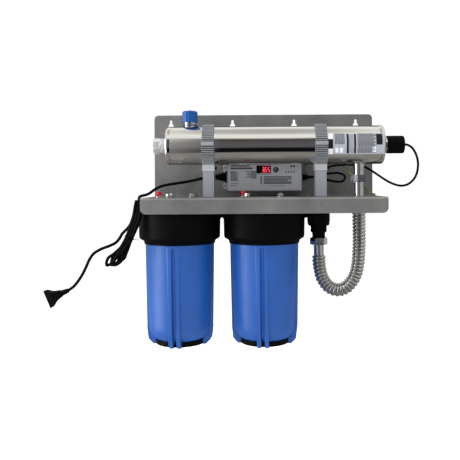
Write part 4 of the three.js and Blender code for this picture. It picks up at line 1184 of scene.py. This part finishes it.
def make_face_print():
    """Bars in place of the printed words and symbols of the controller's face."""
    bars = []
    bars += text_line(-79, -28.9, 46, 3.0, 1) + text_line(-79, -35.2, 52, 4.2, 2)
    for row in range(9):
        z = -41.6 - 2.7 * row
        bars += text_line(-79, z, 12 + 7 * abs(math.sin(row * 1.7)), 1.8, 3 + row)
        if row < 7:
            length = 10 + 16 * abs(math.cos(row * 1.3))
            bars += text_line(-17 - length, z, length, 1.8, 20 + row)
    bars += text_line(-79, -69.4, 20, 1.3, 40) + text_line(-79, -74.6, 14, 1.4, 41)
    bars += text_line(-16, -48.6, 28, 0.9, 42)
    for row in range(6):
        bars += text_line(-8, -54.6 - 3.2 * row, 4.2, 2.2, 50 + row)
        bars += text_line(0.5, -54.6 - 3.2 * row, 66 - 9 * (row == 3), 2.2 + 0.4 * (row == 5), 60 + row)
    bars += text_line(8, -75.8, 42, 0.9, 70)
    for i in range(4):
        bars += [(52 + 6.4 * i, -44.8, 1.7, 5.4 if i % 2 else 4.2), (54.2 + 6.4 * i, -43.2, 1.9, 1.5)]
    shape = flat_bars(Shape(), bars, FACE_Y)
    dot = [(0, FACE_Y), (2.5, FACE_Y), (2.5, FACE_Y - 0.05), (0, FACE_Y - 0.05)]
    for x in (65.5, 72.5):
        shape.lathe(dot, "y", (x, 0, -29), 32)
    piece("face_print", shape, look["print_black"])


def make_key():
    x, z = KEY_AT
    cap = [(0, -60.4), (5.6, -60.4), *arc((5.6, -59.6), 0.8, -90, 0, 4), (6.4, -55.6), (8, -55.6),
           (8, -54.4), (0, -54.4)]
    shape = Shape().lathe(cap, "y", (x, 0, z), 64)
    ring = []
    for i in range(33):
        angle = math.radians(60 + 300 * i / 32)
        ring.append(Vector((x + 3.3 * math.cos(angle), -60.42, z + 3.3 * math.sin(angle))))
    shape.tube(ring, 0.28, 8, mark=1)
    shape.tube([Vector((x, -60.42, z + 0.6)), Vector((x, -60.42, z + 4.4))], 0.28, 8, mark=1)
    piece("key", shape, [look["black_plastic"], look["print_white"]], "controller_key", ("controller_key",))


def make_glands():
    at = (-88, -30, -53.3)
    profile = [(3.25, -33), (5.0, -33), (5.4, -32.5)]
    for i in range(5):
        start, radius = -32.2 + 5.2 * i, 5.6 + 1.35 * i
        profile += [(radius, start), (radius + 0.5, start + 0.5), (radius + 0.5, start + 2.6),
                    (radius, start + 3.1), (radius - 1.3, start + 3.5), (radius - 1.3, start + 5.0)]
    profile += [(12.6, -6.0), (13.5, -5.4), (13.5, -0.9), (13, -0.3), (6.6, -0.3), (6.6, 6), (3.25, 6)]
    turned("strain_relief", profile, "x", at, "rubber", "cord_gland", segments=64)
    collar = [(2.6, -6), (5, -6), (5, 0.3), (7, 0.3), (7.5, 0.8), (7.5, 7.4), (7, 8)]
    for i in range(3):
        collar += [(6.6 - 0.8 * i, 8.2 + 3.2 * i), (6.4 - 0.8 * i, 10.4 + 3.2 * i),
                   (5.2 - 0.8 * i, 10.6 + 3.2 * i), (5.2 - 0.8 * i, 11.2 + 3.2 * i)]
    collar += [(4.2, 18), (2.6, 18)]
    turned("lamp_relief", collar, "x", (92, -30, -55), "rubber", "lamp_gland", segments=48)


def make_flange():
    """The slotted edge of the controller's base that stands out beside the lead's strain relief."""
    slot_ends = ((-27.5, -33.5), (-73.0, -79.0))
    outline = rounded([(-99, -82.5, 2.5), (-88.3, -82.5), (-88.3, -22), (-99, -22, 2.5)])
    plate = Shape().prism(outline, "y", -21, -18.8)
    slots = []
    for top, bottom in slot_ends:
        slots.append(Shape().prism(rounded([(-96.4, bottom, 1.4), (-92.6, bottom, 1.4), (-92.6, top, 1.4),
                                            (-96.4, top, 1.4)]), "y", -25, -15))
    flange = solid("base_flange", plate, (), slots)
    finish_piece(flange, look["lug_grey"], "root", ())


def make_controller():
    make_flange()
    dress("controller_cover", "aluminium", 1.0, 3)
    dress("controller_base", "aluminium", 0.4)
    for side in ("left", "right"):
        dress(f"controller_screw_{side}", "steel", 0.4)
    dress("face_panel", "face_grey", 0.15)
    dress("circuit_board", "board_green")
    dress("ballast_choke", "copper", 1.5)
    dress("display_window", "black_plastic", 0.3)
    digits = Shape()
    for i, digit in enumerate("365"):
        seven_segment(digits, digit, -4.6 + 7.0 * i, -42.4, 4.2, 11.6, DISPLAY_Y)
    piece("display_digits", digits, look["digit_red"])
    make_face_print()
    make_key()
    make_glands()


# ------------------------------------------------------------------ chamber label
def film(shape, x0, x1, low, high, radius, mark):
    """A patch wrapped on the chamber between two angles, degrees up from the level facing the front."""
    steps = max(2, int(abs(high - low) / 2))
    lift = 0.06
    verts = []
    for x in (x0, x1):
        for reach in (radius, radius + lift):
            for i in range(steps + 1):
                angle = math.radians(low + (high - low) * i / steps)
                verts.append(Vector((x, AXIS_Y - reach * math.cos(angle),
                                     CHAMBER_Z + reach * math.sin(angle))))
    row = steps + 1
    faces = []
    for i in range(steps):
        faces.append((row + i, row + i + 1, 3 * row + i + 1, 3 * row + i))
        faces.append((i, 2 * row + i, 2 * row + i + 1, i + 1))
    faces += [(0, row, 3 * row, 2 * row), (steps, 2 * row + steps, 3 * row + steps, row + steps)]
    faces += [(i, i + 1, row + i + 1, row + i) for i in range(steps)]
    faces += [(2 * row + i, 3 * row + i, 3 * row + i + 1, 2 * row + i + 1) for i in range(steps)]
    shape.add(verts, faces, mark)


# Height of a printed line on the label, in degrees round the chamber.
PRINT_HEIGHT = 2.0


LABEL_LEFT, LABEL_RIGHT = 156, 272
STRIPE_LEFT, STRIPE_RIGHT = 145, 155.6
FILM_R = CHAMBER_R + 0.02
PRINT_R = CHAMBER_R + 0.1
SILVER, BLACK, WHITE = 0, 1, 2    # the label's materials
LABEL_ROWS, ROW_TOP, ROW_PITCH = 18, 29, 3.3
LEFT_ROWS = 10                    # rows of the narrow column on the left


def make_label():
    """Silver film on the right part of the chamber, printed with bars in place of its words and symbols."""
    shape = Shape()
    film(shape, LABEL_LEFT, LABEL_RIGHT, -31, 32, FILM_R, SILVER)
    for low, high, ink in ((14, 32, WHITE), (-14, 14, BLACK), (-31, -14, WHITE)):
        film(shape, STRIPE_LEFT, STRIPE_RIGHT, low, high, FILM_R, ink)
    for left, right, low in ((186.6, 191.2, -29), (203, 207.6, -29), (253, 267, -3)):
        film(shape, left, right, low, 30, PRINT_R, BLACK)
    for row in range(LABEL_ROWS):
        angle = ROW_TOP - ROW_PITCH * row
        left_line = text_line(160, 0, 22, 1, 80 + row)
        if row >= LEFT_ROWS:
            left_line = []
        right_line = text_line(211, 0, 34 + 8 * abs(math.sin(row)), 1, 120 + row)
        for x, _, width, _ in left_line + right_line:
            film(shape, x, x + width, angle, angle + PRINT_HEIGHT, PRINT_R, BLACK)
    for x in (192.5, 195.0, 197.5, 200.0):
        film(shape, x, x + 0.6, -27, 27, PRINT_R, BLACK)
    for left, right, high in ((161, 168, -12), (171, 178, -12), (244, 252, -8)):
        film(shape, left, right, -26, high, PRINT_R, WHITE)
    piece("chamber_label", shape, [look["film_silver"], look["print_black"], look["print_white"]],
          angle=60)


# ------------------------------------------------------------------ plug and tie
PLUG_HOME = Vector((-433.5, -172, -302.6))
PLUG_AXIS = Vector((-0.92, 0, -0.39))
PLUG_SIDE = [(19, 7.4), (22, 8.4), (26, 9.4), (31, 10.8), (35, 12.4), (39, 15.0), (42.5, 17.9),
             (45, 19.6), (47, 20.3), (50, 20.4)]


def make_plug():
    """A bell-shaped body lying flat to the wall, with a ribbed strain relief where the lead comes in."""
    profile = [(0, 0.3), (4.2, 0.3), (4.7, 1.0)]
    for i in range(5):
        start, radius = 2.0 + 3.4 * i, 4.9 + 0.35 * i
        profile += [(radius, start), (radius + 0.4, start + 0.4), (radius + 0.4, start + 2.0),
                    (radius, start + 2.4), (radius - 0.9, start + 2.6), (radius - 0.9, start + 3.2)]
    profile += [(6.4, 19.2), (6.4, 22), (0, 22)]
    shape = Shape().lathe(profile, "x", (0, 0, 0), 96)
    outline = PLUG_SIDE + [(along, -side) for along, side in reversed(PLUG_SIDE)]
    levels = [(-11, 0.86), (-10.3, 0.93), (-9, 0.975), (-7, 1.0), (8.5, 1.0), (10.3, 0.97), (11, 0.92)]
    count = len(outline)
    verts = [Vector((34 + (x - 34) * size, y, z * size)) for y, size in levels for x, z in outline]
    faces = [tuple(range(count)), tuple(range(len(verts) - 1, len(verts) - count - 1, -1))]
    for row in range(len(levels) - 1):
        for i in range(count):
            j = (i + 1) % count
            a, b = row * count, (row + 1) * count
            faces.append((a + i, b + i, b + j, a + j))
    shape.add(verts, faces)
    for i in range(5):
        reach = 7.6 + 0.5 * i
        shape.block(24 + 3 * i, 25.2 + 3 * i, -11.5, -8.5, -reach, reach)
    turn = Vector((1, 0, 0)).rotation_difference(PLUG_AXIS.normalized()).to_matrix().to_4x4()
    shape.place(Matrix.Translation(PLUG_HOME) @ turn)
    plug = piece("mains_plug", shape, look["cord_rubber"], nodes=("power_plug",))
    dress("plug_blades", "steel", 0.2)
    return plug


def make_tie():
    """A plastic-covered wire wound twice round the hank's waist, its twisted ends out to the right."""
    path = []
    for i in range(97):
        angle = 4 * math.pi * i / 96
        along = 0.545 + 0.028 * i / 96
        reach = 1.0 + 0.06 * math.sin(3 * angle)
        path.append(hank_point(along, 10.0 * reach * math.cos(angle), 10.6 * math.sin(angle)))
    shape = Shape().tube(path, 0.8, 8, mark=1)
    knot = hank_point(0.55, -10.4, -2)
    for phase in (0, math.pi):
        end = []
        for i in range(25):
            angle = phase + 4 * math.pi * i / 24
            end.append(knot + Vector((0.5 * i, 1.1 * math.cos(angle), 1.1 * math.sin(angle) - 0.12 * i)))
        shape.tube(end, 0.7, 8)
    return piece("hank_tie", shape, [look["tie_white"], look["rubber"]], nodes=("cord_tie",))


# ------------------------------------------------------------------ studio
def area_light(name, place, target, width, height, power):
    data = bpy.data.lights.new(name, "AREA")
    data.shape = "RECTANGLE"
    data.size, data.size_y = width, height
    data.energy = power
    light = new_object(name, data)
    light.location = place
    light.rotation_euler = (Vector(target) - Vector(place)).to_track_quat("-Z", "Y").to_euler()
    return light


def make_world():
    """White for the camera; for light and reflections a studio: a bright ceiling over a dark, warm room."""
    world = bpy.data.worlds.new("studio")
    bpy.context.scene.world = world
    world.use_nodes = True
    tree = world.node_tree
    tree.nodes.clear()

    def node(kind):
        return tree.nodes.new(kind)
    direction = node("ShaderNodeTexCoord")
    split = node("ShaderNodeSeparateXYZ")
    tree.links.new(direction.outputs["Generated"], split.inputs["Vector"])
    height = node("ShaderNodeMapRange")
    height.inputs["From Min"].default_value = -1.0
    tree.links.new(split.outputs["Z"], height.inputs["Value"])

    def ramp(stops):
        made = node("ShaderNodeValToRGB")
        elements = made.color_ramp.elements
        while len(elements) < len(stops):
            elements.new(0.5)
        for element, (level, color) in zip(elements, stops):
            element.position = (level + 1) / 2
            element.color = (*color, 1)
        tree.links.new(height.outputs["Result"], made.inputs["Fac"])
        return made
    front = ramp([(-1.0, (0.08, 0.08, 0.07)), (-0.93, (0.24, 0.23, 0.21)), (-0.8, (0.27, 0.26, 0.245)),
                  (-0.7, (0.22, 0.21, 0.20)), (-0.65, (0.005, 0.005, 0.005)), (-0.34, (0.005, 0.005, 0.006)),
                  (-0.24, (0.09, 0.09, 0.10)), (0.0, (0.11, 0.11, 0.125)), (0.25, (0.10, 0.10, 0.10)),
                  (0.52, (0.075, 0.073, 0.068)), (0.6, (0.30, 0.30, 0.29)), (0.68, (0.95, 0.97, 0.95)),
                  (0.86, (1.0, 1.0, 0.99)), (0.95, (0.62, 0.62, 0.61)), (1.0, (0.5, 0.5, 0.49))])
    around = ramp([(-1.0, (0.25, 0.24, 0.23)), (-0.3, (0.35, 0.35, 0.35)), (0.2, (0.45, 0.45, 0.46)),
                   (0.6, (0.9, 0.9, 0.9)), (1.0, (1.0, 1.0, 1.0))])
    sideways = node("ShaderNodeMath")
    sideways.operation = "ABSOLUTE"
    tree.links.new(split.outputs["X"], sideways.inputs[0])
    spread = node("ShaderNodeMapRange")
    spread.inputs["From Min"].default_value = 0.25
    spread.inputs["From Max"].default_value = 0.6
    tree.links.new(sideways.outputs["Value"], spread.inputs["Value"])
    mixed = node("ShaderNodeMixRGB")
    tree.links.new(spread.outputs["Result"], mixed.inputs["Fac"])
    tree.links.new(front.outputs["Color"], mixed.inputs["Color1"])
    tree.links.new(around.outputs["Color"], mixed.inputs["Color2"])
    room = node("ShaderNodeBackground")
    room.inputs["Strength"].default_value = 1.0
    tree.links.new(mixed.outputs["Color"], room.inputs["Color"])
    backdrop = node("ShaderNodeBackground")
    backdrop.inputs["Color"].default_value = (1, 1, 1, 1)
    backdrop.inputs["Strength"].default_value = 1.05
    ray = node("ShaderNodeLightPath")
    choose = node("ShaderNodeMixShader")
    tree.links.new(ray.outputs["Is Camera Ray"], choose.inputs["Fac"])
    tree.links.new(room.outputs["Background"], choose.inputs[1])
    tree.links.new(backdrop.outputs["Background"], choose.inputs[2])
    tree.links.new(choose.outputs["Shader"], node("ShaderNodeOutputWorld").inputs["Surface"])


def make_studio():
    scene = bpy.context.scene
    scene.view_settings.view_transform = "Standard"
    make_world()
    area_light("window", (-1.75, -0.55, -0.1), (-0.1, -0.1, -0.2), 1.0, 1.7, 26)
    top = area_light("top", (0.1, -0.9, 1.7), (0, -0.1, -0.1), 1.8, 0.9, 15)
    top.visible_glossy = False
    front = area_light("front", (-0.5, -2.4, 0.3), (0, -0.1, -0.15), 1.6, 1.2, 12)
    front.visible_glossy = False
    floor = Finish("floor", (0.93, 0.93, 0.93), 0.8, 0.0, 0.1)
    floor.relief(3, 0.4)
    floor.set("Emission Color", (1, 1, 1, 1))
    floor.set("Emission Strength", 0.55)
    floor.vary_color(2, 0.01)
    plane = new_object("floor", Shape().block(-9000, 9000, -9000, 9000, -760, -750).mesh("floor"))
    plane.data.materials.append(floor.material)
    plane.visible_glossy = False


# ------------------------------------------------------------------ the whole unit
make_camera()
look = make_materials()
plug = make_plug()
tie = make_tie()
make_mains_lead()
make_lamp_cable()
make_earth_wire()
make_hose()
dress("bracket", "steel_sheet", 0.35, 2, 50)
make_chamber()
make_chamber_ends()
make_outlet()
for cad_node, kind in (("quartz_sleeve", "quartz"), ("uv_lamp", "quartz"), ("sleeve_seal", "rubber")):
    dress(cad_node, kind)
for clamp_side in CLAMP_X:
    make_clamp(clamp_side)
make_filters()
make_hose_fittings()
make_controller()
make_label()
dress("earth_lug", "steel", 0.2)
dress("earth_screw", "steel", 0.3)
make_studio()
